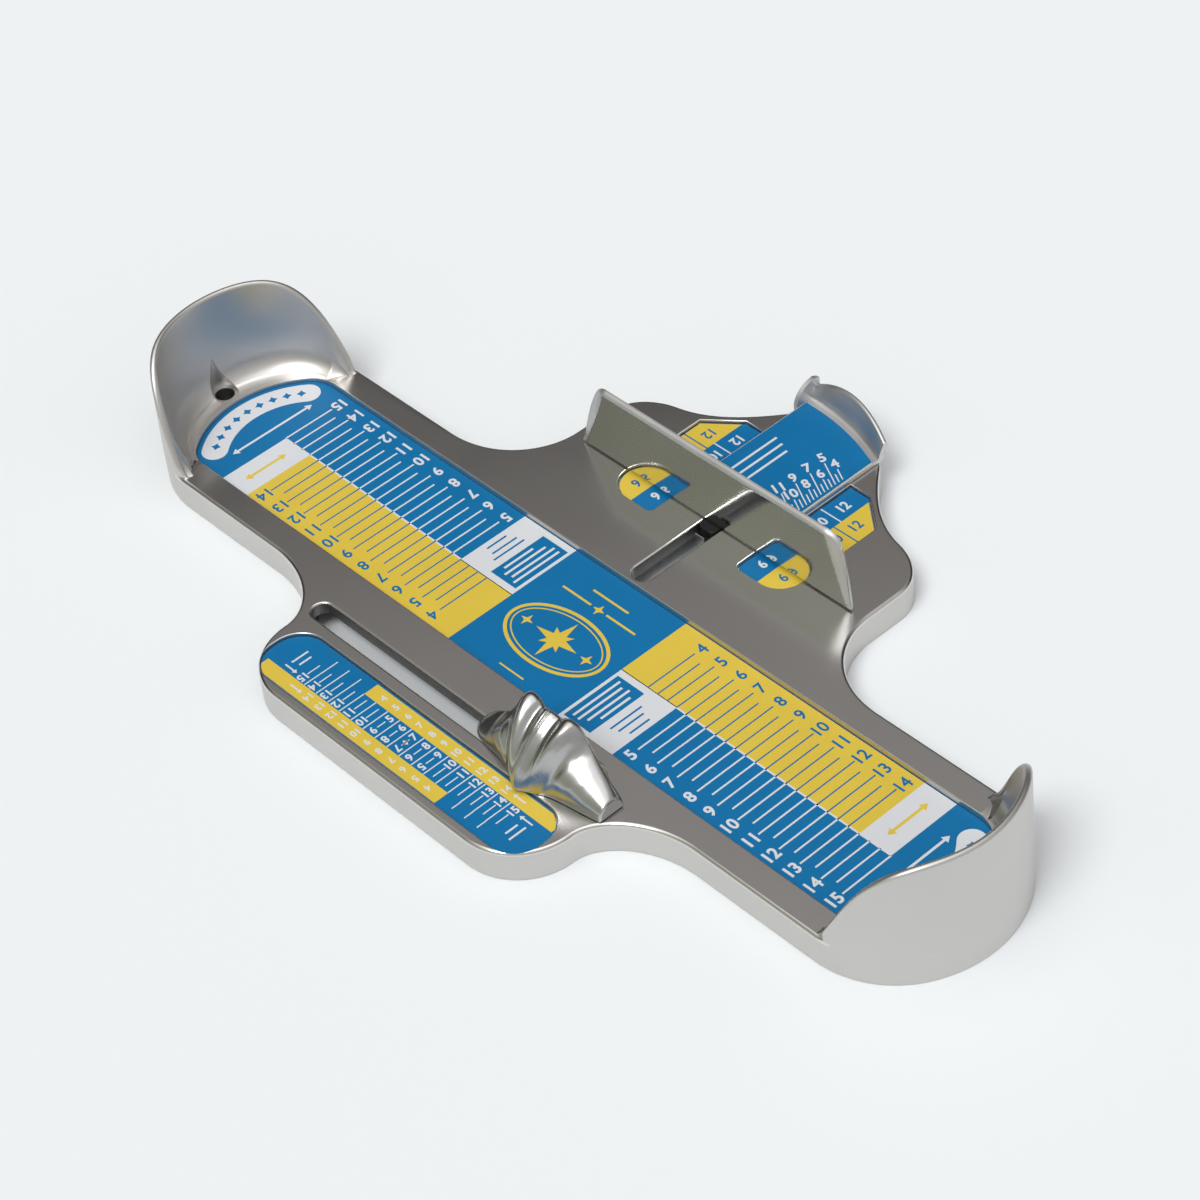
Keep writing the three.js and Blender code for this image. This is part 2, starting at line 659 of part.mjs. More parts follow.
// The grip's edge is highest in its middle
function grip() {
  const rings = gripEdge(slideHalfWidth, 0).map(({ x, y }) => {
    const top = slideTop + gripHeight - gripEndDrop * (x / slideHalfWidth) ** 2;
    const halfway = (slideTop + top) / 2;
    const edge = y + gripLean;
    return [
      [y - gripFoot, slideBottom], [y - gripFoot, slideTop], [y, slideTop + gripFootRise],
      [y + gripLean / 2, halfway], ...roundOver(edge, edge + gripWall, top, gripEdgeRound),
      [y + gripLean / 2 + gripWall, halfway], [y + gripWall, slideBottom + gripHeelRound],
      [y + gripWall - gripHeelRound, slideBottom],
    ].map(([py, pz]) => new THREE.Vector3(x, py, pz));
  });
  return toManifold(closedLoft(rings, (p) => new THREE.Vector2(p.y, p.z)));
}

// The raised fin that closes one end of the grip
function gripHorn() {
  const inner = -(slideHalfWidth - slideSheetInset + hornToSheet);
  const back = gripY(inner) + gripLean + gripWall;
  const front = back - gripHornLength - gripWall;
  const steps = 8;
  const outline = [[back, slideBottom], [back, slideTop + gripHornHeight - gripHornShoulder]];
  for (let k = 0; k <= steps; k += 1) {
    const angle = (k / steps) * (Math.PI / 2);
    outline.push([back - gripWall - gripHornLength * Math.sin(angle),
      slideTop + gripHornHeight * Math.cos(angle)]);
  }
  outline.push([front, slideBottom]);
  const ring = (px) => outline.map(([y, z]) => new THREE.Vector3(px, y, z));
  return toManifold(closedLoft([ring(inner - gripHornThickness), ring(inner)],
    (p) => new THREE.Vector2(p.y, p.z)));
}

// Plan of the slide or its sheet, from a line across it to the grip's edge
function slideOutline(halfWidth, startY, offset) {
  return withoutRepeats([new THREE.Vector2(-halfWidth, startY),
    new THREE.Vector2(halfWidth, startY), ...gripEdge(halfWidth, offset)]);
}

function slideSheet() {
  return slideOutline(slideHalfWidth - slideSheetInset,
    fenceFaceY + fenceLean + fenceThickness + sheetToFence, sheetToGrip);
}

const widthGuide = { x: 0, y: guideMiddleY, turn: 90 };
const archGuide = { x: pointerX, y: archSlotY, turn: 0 };

// The two boss places of a guide, one on each side of its middle, along its slot
function bossPlaces({ x, y, turn }) {
  const angle = THREE.MathUtils.degToRad(turn);
  return [-bossSpacing / 2, bossSpacing / 2].map((run) => (
    { x: x + run * Math.cos(angle), y: y + run * Math.sin(angle) }));
}

function screwHole({ x, y }, top) {
  return rod(x, y, screwRadius + screwClearance, 0, top, smallHoleSteps);
}

// A slider's casting with the two bosses that carry its guide
function withBosses(body, guide, root) {
  const places = bossPlaces(guide);
  const whole = joined(body, ...places.map(({ x, y }) => (
    rod(x, y, bossRadius, blockBottom, root + bossRoot, smallHoleSteps))));
  return cut(whole, ...places.map((place) => screwHole(place, screwHoleTop)));
}

function widthBarCasting() {
  const slide = slab(slideOutline(slideHalfWidth, fenceFaceY + fenceLean, 0),
    slideBottom, slideTop);
  return withBosses(joined(slide, fence(), grip(), gripHorn()), widthGuide, slideBottom);
}

// Guides: block, friction spring, retaining plate, washers and screws, drawn along +X round
// the origin and then laid along the slot

const atOrigin = { x: 0, y: 0, turn: 0 };

function guideBlock(slotWidth) {
  const half = slotWidth / 2 - guideClearance;
  const length = guideBlockLength / 2;
  const round = guideCornerRadius;
  const body = slab(roundedRectangle(-length, length, -half, half,
    [round, round, round, round]), blockBottom, slideBottom - blockTopGap);
  return cut(body, ...bossPlaces(atOrigin).map(({ x, y }) => (
    rod(x, y, bossRadius + bossClearance, 0, baseTop + deepCut, smallHoleSteps))));
}

// Leaf with its sides bent up against the web, and a tongue turned up in the slot
function frictionSpring(slotWidth) {
  const half = guideBlockLength / 2;
  const edge = springWidth / 2;
  const flat = slotWidth / 2;
  const raised = wingUnderside - springToWeb - springThickness;
  const lower = [[-edge, raised], [-flat, retainerTop], [flat, retainerTop], [edge, raised]];
  const profile = [...lower, ...lower.map(([y, z]) => [y, z + springThickness]).reverse()];
  const ring = (x) => profile.map(([y, z]) => new THREE.Vector3(x, y, z));
  const leaf = toManifold(closedLoft([ring(-half), ring(half)],
    (p) => new THREE.Vector2(p.y, p.z)));
  const tabEnd = -half - springTabReach;
  const tabHalf = springTabWidth / 2;
  const tab = joined(
    block(tabEnd, -half + springTabReach, -tabHalf, tabHalf, retainerTop,
      retainerTop + springThickness),
    block(tabEnd, tabEnd + springThickness, -tabHalf, tabHalf, retainerTop,
      wingUnderside + springTabHeight));
  return cut(joined(leaf, tab), ...bossPlaces(atOrigin).map((place) => screwHole(place, baseTop)));
}

function retainer() {
  const length = guideBlockLength / 2 - retainerMargin;
  const half = retainerWidth / 2;
  const round = retainerCorner;
  const body = slab(roundedRectangle(-length, length, -half, half,
    [round, round, round, round]), retainerBottom, retainerTop);
  return cut(body, ...bossPlaces(atOrigin).map((place) => screwHole(place, baseTop)));
}

function washer() {
  return cut(rod(0, 0, washerRadius, washerBottom, retainerBottom), screwHole(atOrigin, baseTop));
}

// Screw with a domed head and a cross drive
function screw() {
  const headBottom = washerBottom - screwHeadHeight;
  const head = stacked(circle(0, 0, screwHeadRadius), [[screwHeadRound, headBottom],
    [0, headBottom + screwHeadRound], [0, washerBottom]]);
  const shank = rod(0, 0, screwRadius, washerBottom - screwHeadRound, screwHoleTop - screwEndGap,
    smallHoleSteps);
  const drive = joined(
    block(-driveHalfLength, driveHalfLength, -driveHalfWidth, driveHalfWidth,
      headBottom - deepCut, headBottom + driveDepth),
    block(-driveHalfWidth, driveHalfWidth, -driveHalfLength, driveHalfLength,
      headBottom - deepCut, headBottom + driveDepth));
  return cut(joined(head, shank), drive);
}

// Arch pointer casting

// One side of a section: an oval arc of the given power between two points
function ovalArc(from, to, power, steps) {
  return Array.from({ length: steps }, (unused, k) => {
    const angle = ((k + 1) / (steps + 1)) * (Math.PI / 2);
    return [
      THREE.MathUtils.lerp(to[0], from[0], Math.cos(angle) ** (2 / power)),
      THREE.MathUtils.lerp(from[1], to[1], Math.sin(angle) ** (2 / power)),
    ];
  });
}

// Section across the pointer, from its foot side over the crest to the tip side
function pointerSection(along) {
  const u = Math.abs(along);
  const side = along >= 0 ? pointerNearEnd : pointerFarEnd;
  const top = alongCurve(side.top, u);
  const crest = [alongCurve(side.crest, u), top];
  const front = -alongCurve(side.front, u);
  const back = alongCurve(side.back, u);
  const round = smoothStep(pointerPocket.reach - pointerPocket.blend, side.reach, u);
  const hollow = pointerPocket.curve.map(([rise, out]) => [
    THREE.MathUtils.lerp(crest[0], back, out), pointerLip + rise * (top - pointerLip)]);
  const bulge = ovalArc([back, pointerLip], crest, 2, hollow.length).reverse();
  const footSide = hollow.map(([y, z], k) => [
    THREE.MathUtils.lerp(y, bulge[k][0], round), THREE.MathUtils.lerp(z, bulge[k][1], round)]);
  const power = THREE.MathUtils.lerp(pointerNosePower, 2, round);
  const tipSide = ovalArc([front, pointerLip], crest, power, noseSteps).reverse();
  return [[back, 0], [back, pointerLip], ...footSide.reverse(), crest, ...tipSide,
    [front, pointerLip], [front, 0]];
}

// Places of the sections, closer together at the ridges, out to the end on one side
function pointerPlaces(reach) {
  const ridges = [0.8, 1.9, 3, 4.2, 5.6, 7, 8.5, 10];
  const wingSteps = 10;
  const first = ridges[ridges.length - 1];
  const wing = Array.from({ length: wingSteps }, (unused, k) => (
    first + ((reach - first) * (k + 1)) / wingSteps));
  return [...ridges, ...wing];
}

function pointerCasting() {
  const far = pointerPlaces(pointerFarEnd.reach).map((u) => -u).reverse();
  const places = [...far, 0, ...pointerPlaces(pointerNearEnd.reach)];
  const rings = places.map((along) => pointerSection(along).map(([y, z]) => new THREE.Vector3(
    pointerX + along, archSlotY + y, pointerBottom + z)));
  const shell = toManifold(closedLoft(rings, (p) => new THREE.Vector2(p.y, p.z)));
  return withBosses(shell, archGuide, pointerBottom);
}

// The group of named meshes

const finishes = {
  cast_aluminium: { color: 0x8f8984, roughness: 0.35, metalness: 1.0 },
  polished_aluminium: { color: 0xb9bab8, roughness: 0.15, metalness: 1.0 },
  printed_sheet: { color: 0x0067a8, roughness: 0.4, metalness: 0.0 },
  adhesive: { color: 0xd8d5c8, roughness: 0.8, metalness: 0.0 },
  black_nylon: { color: 0x17181a, roughness: 0.5, metalness: 0.0 },
  spring_steel: { color: 0xc4c6c8, roughness: 0.25, metalness: 1.0 },
  zinc_steel: { color: 0xa9adb0, roughness: 0.35, metalness: 1.0 },
};

const part = new THREE.Group();
const frame = new THREE.Group();
part.add(frame);

function addNode(name, body, finish) {
  const material = new THREE.MeshStandardMaterial(finishes[finish]);
  const mesh = new THREE.Mesh(toGeometry(body), material);
  mesh.name = name;
  frame.add(mesh);
}

function addPlate(name, outline, floor) {
  const top = floor + adhesiveThickness;
  addNode(`${name}_adhesive`, slab(outline, floor, top), 'adhesive');
  addNode(`${name}_plate`, slab(outline, top, top + plateThickness), 'printed_sheet');
}

function addGuide(name, guide, slotWidth) {
  const laid = (body) => body.rotate([0, 0, guide.turn]).translate([guide.x, guide.y, 0]);
  addNode(`${name}_guide_block`, laid(guideBlock(slotWidth)), 'black_nylon');
  addNode(`${name}_friction_spring`, laid(frictionSpring(slotWidth)), 'spring_steel');
  addNode(`${name}_retaining_plate`, laid(retainer()), 'zinc_steel');
  bossPlaces(guide).forEach(({ x, y }, k) => {
    const end = k === 0 ? 'a' : 'b';
    addNode(`${name}_washer_${end}`, washer().translate([x, y, 0]), 'zinc_steel');
    addNode(`${name}_screw_${end}`, screw().translate([x, y, 0]), 'zinc_steel');
  });
}

addNode('base_casting', baseCasting(), 'cast_aluminium');
addPlate('foot_length', footOutline(0), footFloor);
addPlate('arch_length', archPlateOutline(0), smallFloor);
addPlate('near_width', widthPlateOutline(1, 0), smallFloor);
addPlate('far_width', widthPlateOutline(-1, 0), smallFloor);

addNode('width_bar_casting', widthBarCasting(), 'polished_aluminium');
const sheetSplit = slideTop + adhesiveThickness / 2;
addNode('slide_scale_adhesive', slab(slideSheet(), slideTop, sheetSplit), 'adhesive');
addNode('slide_scale_sheet', slab(slideSheet(), sheetSplit, slideTop + slideSheetThickness),
  'printed_sheet');
addGuide('width', widthGuide, widthSlotWidth);

addNode('arch_pointer_casting', pointerCasting(), 'polished_aluminium');
addGuide('arch', archGuide, archSlotWidth);

// The origin stands under the middle of the part's box, on the table
const box = new THREE.Box3().setFromObject(part);
const middle = box.getCenter(new THREE.Vector3());
frame.position.set(-middle.x, -middle.y, 0);

export default part;
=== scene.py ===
"""Dresses the foot measuring device: its castings, printed scales and slider guides.

All sizes are in millimetres, measured from the middle of the foot length plate and from the
table, and become metres only when a mesh is made.
"""

from __future__ import annotations

import logging
from dataclasses import dataclass, field
from enum import Enum
from math import atan2, copysign, cos, degrees, pi, radians, sin, sqrt, tan
from typing import Iterable, Mapping, Sequence

import bmesh
import bpy
import numpy as np
from mathutils import Matrix, Vector

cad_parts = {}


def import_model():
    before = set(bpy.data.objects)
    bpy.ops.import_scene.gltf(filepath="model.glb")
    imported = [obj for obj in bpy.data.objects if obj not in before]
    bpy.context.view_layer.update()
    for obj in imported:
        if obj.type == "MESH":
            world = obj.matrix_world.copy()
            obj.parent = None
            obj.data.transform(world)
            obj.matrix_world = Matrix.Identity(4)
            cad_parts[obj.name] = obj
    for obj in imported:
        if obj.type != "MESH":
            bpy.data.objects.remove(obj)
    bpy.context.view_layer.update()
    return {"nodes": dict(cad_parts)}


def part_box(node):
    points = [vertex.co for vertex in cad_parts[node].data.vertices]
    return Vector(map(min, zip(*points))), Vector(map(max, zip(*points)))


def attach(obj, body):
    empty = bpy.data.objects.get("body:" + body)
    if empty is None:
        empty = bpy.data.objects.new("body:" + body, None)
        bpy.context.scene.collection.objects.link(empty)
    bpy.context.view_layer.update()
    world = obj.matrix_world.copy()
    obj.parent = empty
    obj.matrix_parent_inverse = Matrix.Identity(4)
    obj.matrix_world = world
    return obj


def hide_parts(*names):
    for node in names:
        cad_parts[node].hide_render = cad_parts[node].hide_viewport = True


LOG = logging.getLogger("foot_measuring_device")
MILLIMETRE = 0.001
Point = tuple[float, float]
Level = tuple[float, float]
Triple = tuple[float, float, float]
Rows = np.ndarray
Solid = bpy.types.Object
Socket = bpy.types.NodeSocket
Material = bpy.types.Material
Corners = tuple[int, ...]
Shape = tuple[Rows, list[Corners]]


class Slot(Enum):
    """Material slots of the record."""

    CAST = "cast_aluminium"
    POLISHED = "polished_aluminium"
    PRINT = "printed_sheet"
    NYLON = "black_nylon"
    SPRING = "spring_steel"
    ZINC = "zinc_steel"


class Join(Enum):
    """How one solid is combined with another."""

    UNION = "UNION"
    CUT = "DIFFERENCE"


class Ink(Enum):
    """The three printing inks."""

    BLUE = "print_blue"
    YELLOW = "print_yellow"
    WHITE = "print_white"


@dataclass(frozen=True)
class Way:
    """How a print is laid: as drawn, or turned half round about a point."""

    about: Point = (0.0, 0.0)
    half_turn: bool = False

    def place(self, x: float, y: float) -> Point:
        """Returns where a drawn point comes to lie."""
        return (2 * self.about[0] - x, 2 * self.about[1] - y) if self.half_turn else (x, y)

    def turn(self, angle: float) -> float:
        """Returns the angle that a drawn angle in degrees becomes."""
        return angle + 180 if self.half_turn else angle


@dataclass
class Place:
    """Where the foot plate's middle stands in the shared frame.

    Attributes:
        middle_y: Millimetres from the frame's origin to the foot plate's middle line.
    """

    middle_y: float = 0.0

    def read(self) -> None:
        """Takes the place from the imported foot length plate."""
        low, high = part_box("foot_length_plate")
        self.middle_y = (low.y + high.y) / 2 / MILLIMETRE

    def metres(self, points: Rows) -> Rows:
        """Turns device points in millimetres into metres in the shared frame."""
        return (np.asarray(points, float) + (0.0, self.middle_y, 0.0)) * MILLIMETRE


PLACE = Place()


def mix(start: float, end: float, share: float) -> float:
    """Returns the value at a share of the way from start to end."""
    return start + (end - start) * share


def smooth_step(start: float, end: float, value: float) -> float:
    """Returns 0 before start, 1 after end and a smooth rise between them."""
    share = min(max((value - start) / (end - start), 0.0), 1.0)
    return share * share * (3 - 2 * share)


def arc(centre: Point, radius: float, start: float, end: float, steps: int) -> list[Point]:
    """Samples an arc between two angles in degrees, with both ends, in so many stretches."""
    angles = np.radians(np.linspace(start, end, steps + 1))
    return [(centre[0] + radius * cos(a), centre[1] + radius * sin(a)) for a in angles]


def bezier(points: Sequence[Point], steps: int = 40) -> list[Point]:
    """Samples a cubic Bezier curve.

    Args:
        points: Its four control points.
        steps: Number of stretches.

    Returns:
        The points, both ends included.
    """
    shares = np.linspace(0, 1, steps + 1)[:, None]
    a, b, c, d = (np.array(point, float) for point in points)
    rest = 1 - shares
    curve = rest**3 * a + 3 * rest**2 * shares * b + 3 * rest * shares**2 * c + shares**3 * d
    return [tuple(point) for point in curve]


def along_curve(pairs: Sequence[Point], place: float) -> float:
    """Reads a smooth curve through pairs of place and value.

    Args:
        pairs: The curve's points, in rising order of place.
        place: Where to read it.

    Returns:
        The value there, held at the first and last points.
    """
    last = len(pairs) - 1
    if place <= pairs[0][0]:
        return pairs[0][1]
    if place >= pairs[last][0]:
        return pairs[last][1]
    k = next(i for i, pair in enumerate(pairs) if pair[0] > place) - 1
    run = pairs[k + 1][0] - pairs[k][0]
    t = (place - pairs[k][0]) / run

    def slope(j: int) -> float:
        """Returns the curve's slope at one of its points."""
        before, after = pairs[max(j - 1, 0)], pairs[min(j + 1, last)]
        return (after[1] - before[1]) / (after[0] - before[0])

    return (
        (2 * t**3 - 3 * t**2 + 1) * pairs[k][1]
        + (t**3 - 2 * t**2 + t) * run * slope(k)
        + (3 * t**2 - 2 * t**3) * pairs[k + 1][1]
        + (t**3 - t**2) * run * slope(k + 1)
    )


def tidy_outline(points: Iterable[Point], least: float = 0.02) -> Rows:
    """Drops repeated points and turns the outline anticlockwise.

    Args:
        points: A closed outline in plan.
        least: Shortest stretch that is kept.

    Returns:
        The points as rows.
    """
    kept: list[Rows] = []
    for point in points:
        here = np.array(point, float)
        if not kept or np.linalg.norm(here - kept[-1]) > least:
            kept.append(here)
    if np.linalg.norm(kept[0] - kept[-1]) < least:
        kept.pop()
    rows = np.array(kept)
    x, y = rows.T
    area = np.sum(x * np.roll(y, -1) - np.roll(x, -1) * y)
    return rows if area > 0 else rows[::-1]


def inset(outline: Rows, distance: float) -> Rows:
    """Moves an outline inward.

    Args:
        outline: Rows of x and y, anticlockwise.
        distance: How far, outward where negative.

    Returns:
        The moved outline.
    """
    ahead = np.roll(outline, -1, axis=0) - outline
    ahead /= np.linalg.norm(ahead, axis=1)[:, None]
    behind = np.roll(ahead, 1, axis=0)
    normal = np.stack([-(ahead + behind)[:, 1], (ahead + behind)[:, 0]], axis=1)
    normal /= np.linalg.norm(normal, axis=1)[:, None]
    spread = np.sqrt((1 + np.sum(ahead * behind, axis=1)) / 2).clip(0.5)
    return outline + normal * (distance / spread)[:, None]


def rounded_rectangle(
    x_range: Point, y_range: Point, radii: Sequence[float], steps: int = 12
) -> Rows:
    """Outlines a rectangle with rounded corners.

    Args:
        x_range: The rectangle along X.
        y_range: The rectangle along Y.
        radii: Radius of each corner, from lower left round.
        steps: Number of stretches in a corner.

    Returns:
        The outline.
    """
    (x0, x1), (y0, y1) = x_range, y_range
    corners = [(x0, y0, 1, 1), (x1, y0, -1, 1), (x1, y1, -1, -1), (x0, y1, 1, -1)]
    points: list[Point] = []
    for k, ((x, y, toward_x, toward_y), radius) in enumerate(zip(corners, radii)):
        centre = (x + toward_x * radius, y + toward_y * radius)
        points += arc(centre, radius, 180 + 90 * k, 270 + 90 * k, steps)
    return tidy_outline(points)


def within(points: Rows, outline: Rows) -> Rows:
    """Tells which points lie inside an outline, seen from above.

    Args:
        points: Rows that start with x and y.
        outline: Rows that start with x and y, round the outline.

    Returns:
        True for each point that lies inside.
    """
    inside = np.zeros(len(points), bool)
    x, y = points[:, 0], points[:, 1]
    for start, end in zip(outline, np.roll(outline, -1, axis=0)):
        crosses = (start[1] > y) != (end[1] > y)
        rise = end[1] - start[1]
        if rise:
            inside ^= crosses & (x < start[0] + (y - start[1]) / rise * (end[0] - start[0]))
    return inside


def slot_outline(x_range: Point, y_range: Point) -> Rows:
    """Outlines a slot with fully round ends."""
    radius = min(x_range[1] - x_range[0], y_range[1] - y_range[0]) / 2 - 0.001
    return rounded_rectangle(x_range, y_range, [radius] * 4, steps=24)


def rectangle(x_range: Point, y_range: Point) -> list[Point]:
    """Outlines a plain rectangle."""
    (x0, x1), (y0, y1) = x_range, y_range
    return [(x0, y0), (x1, y0), (x1, y1), (x0, y1)]


def star(middle: Point, outer: float, inner: float, turn: float) -> list[Point]:
    """Outlines a four-pointed star.

    Args:
        middle: Its middle.
        outer: Radius of its points.
        inner: Radius between them.
        turn: Angle of the first in degrees.

    Returns:
        The outline.
    """
    angles = [radians(turn) + k * pi / 4 for k in range(8)]
    radii = [outer, inner] * 4
    return [(middle[0] + radius * cos(angle), middle[1] + radius * sin(angle))
            for radius, angle in zip(radii, angles)]


def arrow(middle: Point, length: float, shaft: float, head: float, single: bool = False
          ) -> list[Point]:
    """Outlines an arrow with two heads along Y, or one head that points to -X.

    Args:
        middle: Its middle.
        length: Its whole length.
        shaft: Width of its shaft.
        head: Width of its heads.
        single: True for the one-headed arrow.

    Returns:
        The outline.
    """
    half, rise = length / 2, head * 0.75
    outline = [(shaft / 2, half - rise), (head / 2, half - rise), (0.0, half),
               (-head / 2, half - rise), (-shaft / 2, half - rise)]
    if single:
        outline = [(-y, x) for x, y in [*outline, (-shaft / 2, -half), (shaft / 2, -half)]]
    else:
        outline += [(-x, -y) for x, y in outline]
    return [(middle[0] + x, middle[1] + y) for x, y in outline]


def clipped(
    outline: Rows, way: Way, x_range: Point, y_range: Point
) -> list[Point]:
    """Cuts an outline down to a rectangle.

    Args:
        outline: A convex outline.
        way: How the rectangle is laid.
        x_range: The rectangle along X.
        y_range: The rectangle along Y.

    Returns:
        The outline inside the rectangle.
    """
    ends = [way.place(x_range[0], y_range[0]), way.place(x_range[1], y_range[1])]
    low, high = np.min(ends, axis=0), np.max(ends, axis=0)
    points = [tuple(point) for point in outline]
    for axis, limit, sign in ((0, low[0], 1), (0, high[0], -1), (1, low[1], 1), (1, high[1], -1)):
        kept: list[Point] = []
        for before, after in zip(points, points[1:] + points[:1]):
            start, end = sign * (before[axis] - limit), sign * (after[axis] - limit)
            if start >= 0:
                kept.append(before)
            if start * end < 0:
                share = start / (start - end)
                kept.append(tuple(mix(a, b, share) for a, b in zip(before, after)))
        points = kept
    return points


def unit_box() -> Solid:
    """Makes a box of one metre round the origin, to be scaled into bars.

    Returns:
        The box.
    """
    mesh = bpy.data.meshes.new("unit_box")
    shell = bmesh.new()
    bmesh.ops.create_cube(shell, size=1.0)
    shell.to_mesh(mesh)
    shell.free()
    return linked("unit_box", mesh)


def joined(parts: Sequence[Solid]) -> Solid:
    """Joins objects into the first of them, each keeping its materials.

    Args:
        parts: The objects.

    Returns:
        The first of them.
    """
    with bpy.context.temp_override(active_object=parts[0], object=parts[0],
                                   selected_objects=parts, selected_editable_objects=parts):
        bpy.ops.object.join()
    return parts[0]


def edge_levels(radius: float, top: float, outward: bool = False, steps: int = 5) -> list[Level]:
    """Levels of a rounded top edge, from the bottom up.

    Args:
        radius: The rounding's radius.
        top: Height of the face above it.
        outward: True for a cutting solid, which widens as the edge falls away.
        steps: Number of stretches.

    Returns:
        Pairs of inward distance and height.
    """
    sign = -1 if outward else 1
    return [(sign * radius * (1 - cos(a)), top - radius + radius * sin(a))
            for a in np.linspace(0, pi / 2, steps + 1)]


def round_over(start: float, end: float, top: float, depth: float, steps: int = 8) -> list[Point]:
    """Samples the half round over a wall's edge, as distance and height, from start to end.

    Args:
        start: Distance where the wall starts.
        end: Distance where it ends.
        top: Height of the wall's edge.
        depth: How far down the round reaches.
        steps: Number of its stretches.

    Returns:
        Its points.
    """
    middle, half = (start + end) / 2, (end - start) / 2
    return [(middle - half * cos(a), top - depth + depth * sin(a))
            for a in np.linspace(0, pi, steps + 1)]


def mesh_object(name: str, points: Rows, faces: Sequence[Sequence[int]]) -> Solid:
    """Makes an object from device points, with its faces pointing out.

    Args:
        name: The object's name.
        points: Millimetres, one row each.
        faces: Corner indexes.

    Returns:
        The linked object, standing at the origin.
    """
    mesh = bpy.data.meshes.new(name)
    mesh.from_pydata(PLACE.metres(points).tolist(), [], [list(face) for face in faces])
    shell = bmesh.new()
    shell.from_mesh(mesh)
    bmesh.ops.remove_doubles(shell, verts=shell.verts, dist=1e-7)
    bmesh.ops.recalc_face_normals(shell, faces=shell.faces)
    if shell.calc_volume(signed=True) < 0:
        bmesh.ops.reverse_faces(shell, faces=shell.faces)
    shell.to_mesh(mesh)
    shell.free()
    return linked(name, mesh)


def linked(name: str, data: bpy.types.ID) -> Solid:
    """Puts new object data into the scene.

    Args:
        name: The object's name.
        data: Its mesh, curve, light or camera.

    Returns:
        The object.
    """
    obj = bpy.data.objects.new(name, data)
    bpy.context.scene.collection.objects.link(obj)
    return obj


def loft(name: str, rings: Sequence[Rows]) -> Solid:
    """Makes a closed body through rings of points.

    Args:
        name: The object's name.
        rings: Its cross sections in order, all with the same number of points.

    Returns:
        The body.
    """
    count = len(rings[0])
    faces = [
        (level * count + k, level * count + (k + 1) % count,
         (level + 1) * count + (k + 1) % count, (level + 1) * count + k)
        for level in range(len(rings) - 1)
        for k in range(count)
    ]
    faces.append(tuple(range(count)))
    faces.append(tuple(range((len(rings) - 1) * count, len(rings) * count)))
    return mesh_object(name, np.concatenate(rings), faces)


def stack(name: str, outline: Rows, levels: Sequence[Level]) -> Solid:
    """Makes a closed upright body from an outline.

    Args:
        name: The object's name.
        outline: Its plan.
        levels: Inward distance of the outline and height, from the bottom up.

    Returns:
        The body.
    """
    rings = []
    for distance, height in levels:
        plan = inset(outline, distance) if distance else outline
        rings.append(np.column_stack([plan, np.full(len(plan), height)]))
    return loft(name, rings)


def settle(obj: Solid) -> Solid:
    """Turns an object's modifiers into its mesh and removes them.

    Args:
        obj: The object.

    Returns:
        The same object with a plain mesh.
    """
    evaluated = obj.evaluated_get(bpy.context.evaluated_depsgraph_get())
    mesh = bpy.data.meshes.new_from_object(evaluated)
    obj.modifiers.clear()
    obj.data = mesh
    return obj


def combine(body: Solid, join: Join, *tools: Solid) -> Solid:
    """Joins or cuts a closed body with others, which are used up.

    Args:
        body: The solid that is kept.
        join: Union or cut.
        *tools: The other solids.

    Returns:
        The body.
    """
    for tool in tools:
        modifier = body.modifiers.new("combine", "BOOLEAN")
        modifier.operation = join.value
        modifier.object = tool
        modifier.solver = "MANIFOLD"
        settle(body)
        bpy.data.objects.remove(tool)
    return body


def smooth(obj: Solid, angle: float = 30.0) -> Solid:
    """Shades an object smooth.

    Args:
        obj: The object.
        angle: Edges sharper than this, in degrees, stay sharp.

    Returns:
        The same object.
    """
    obj.data.shade_smooth()
    obj.data.set_sharp_from_angle(angle=radians(angle))
    modifier = obj.modifiers.new("weighted", "WEIGHTED_NORMAL")
    modifier.keep_sharp = True
    return settle(obj)


def coat(obj: Solid, *materials: Material) -> None:
    """Gives an object these materials and no others.

    Args:
        obj: The object.
        *materials: Its materials, in the order of their slots.
    """
    obj.data.materials.clear()
    for material in materials:
        obj.data.materials.append(material)


def dress(obj: Solid, body: str, slot: Slot, *nodes: str) -> None:
    """Gives a finished piece its body and the nodes that it stands for.

    Args:
        obj: The piece.
        body: The body that it rides on.
        slot: The record's slot, which is not used.
        *nodes: The CAD nodes that it replaces.
    """
    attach(obj, body)
    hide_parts(*nodes)
    LOG.info("%s: %d faces on %s", obj.name, len(obj.data.polygons), body)


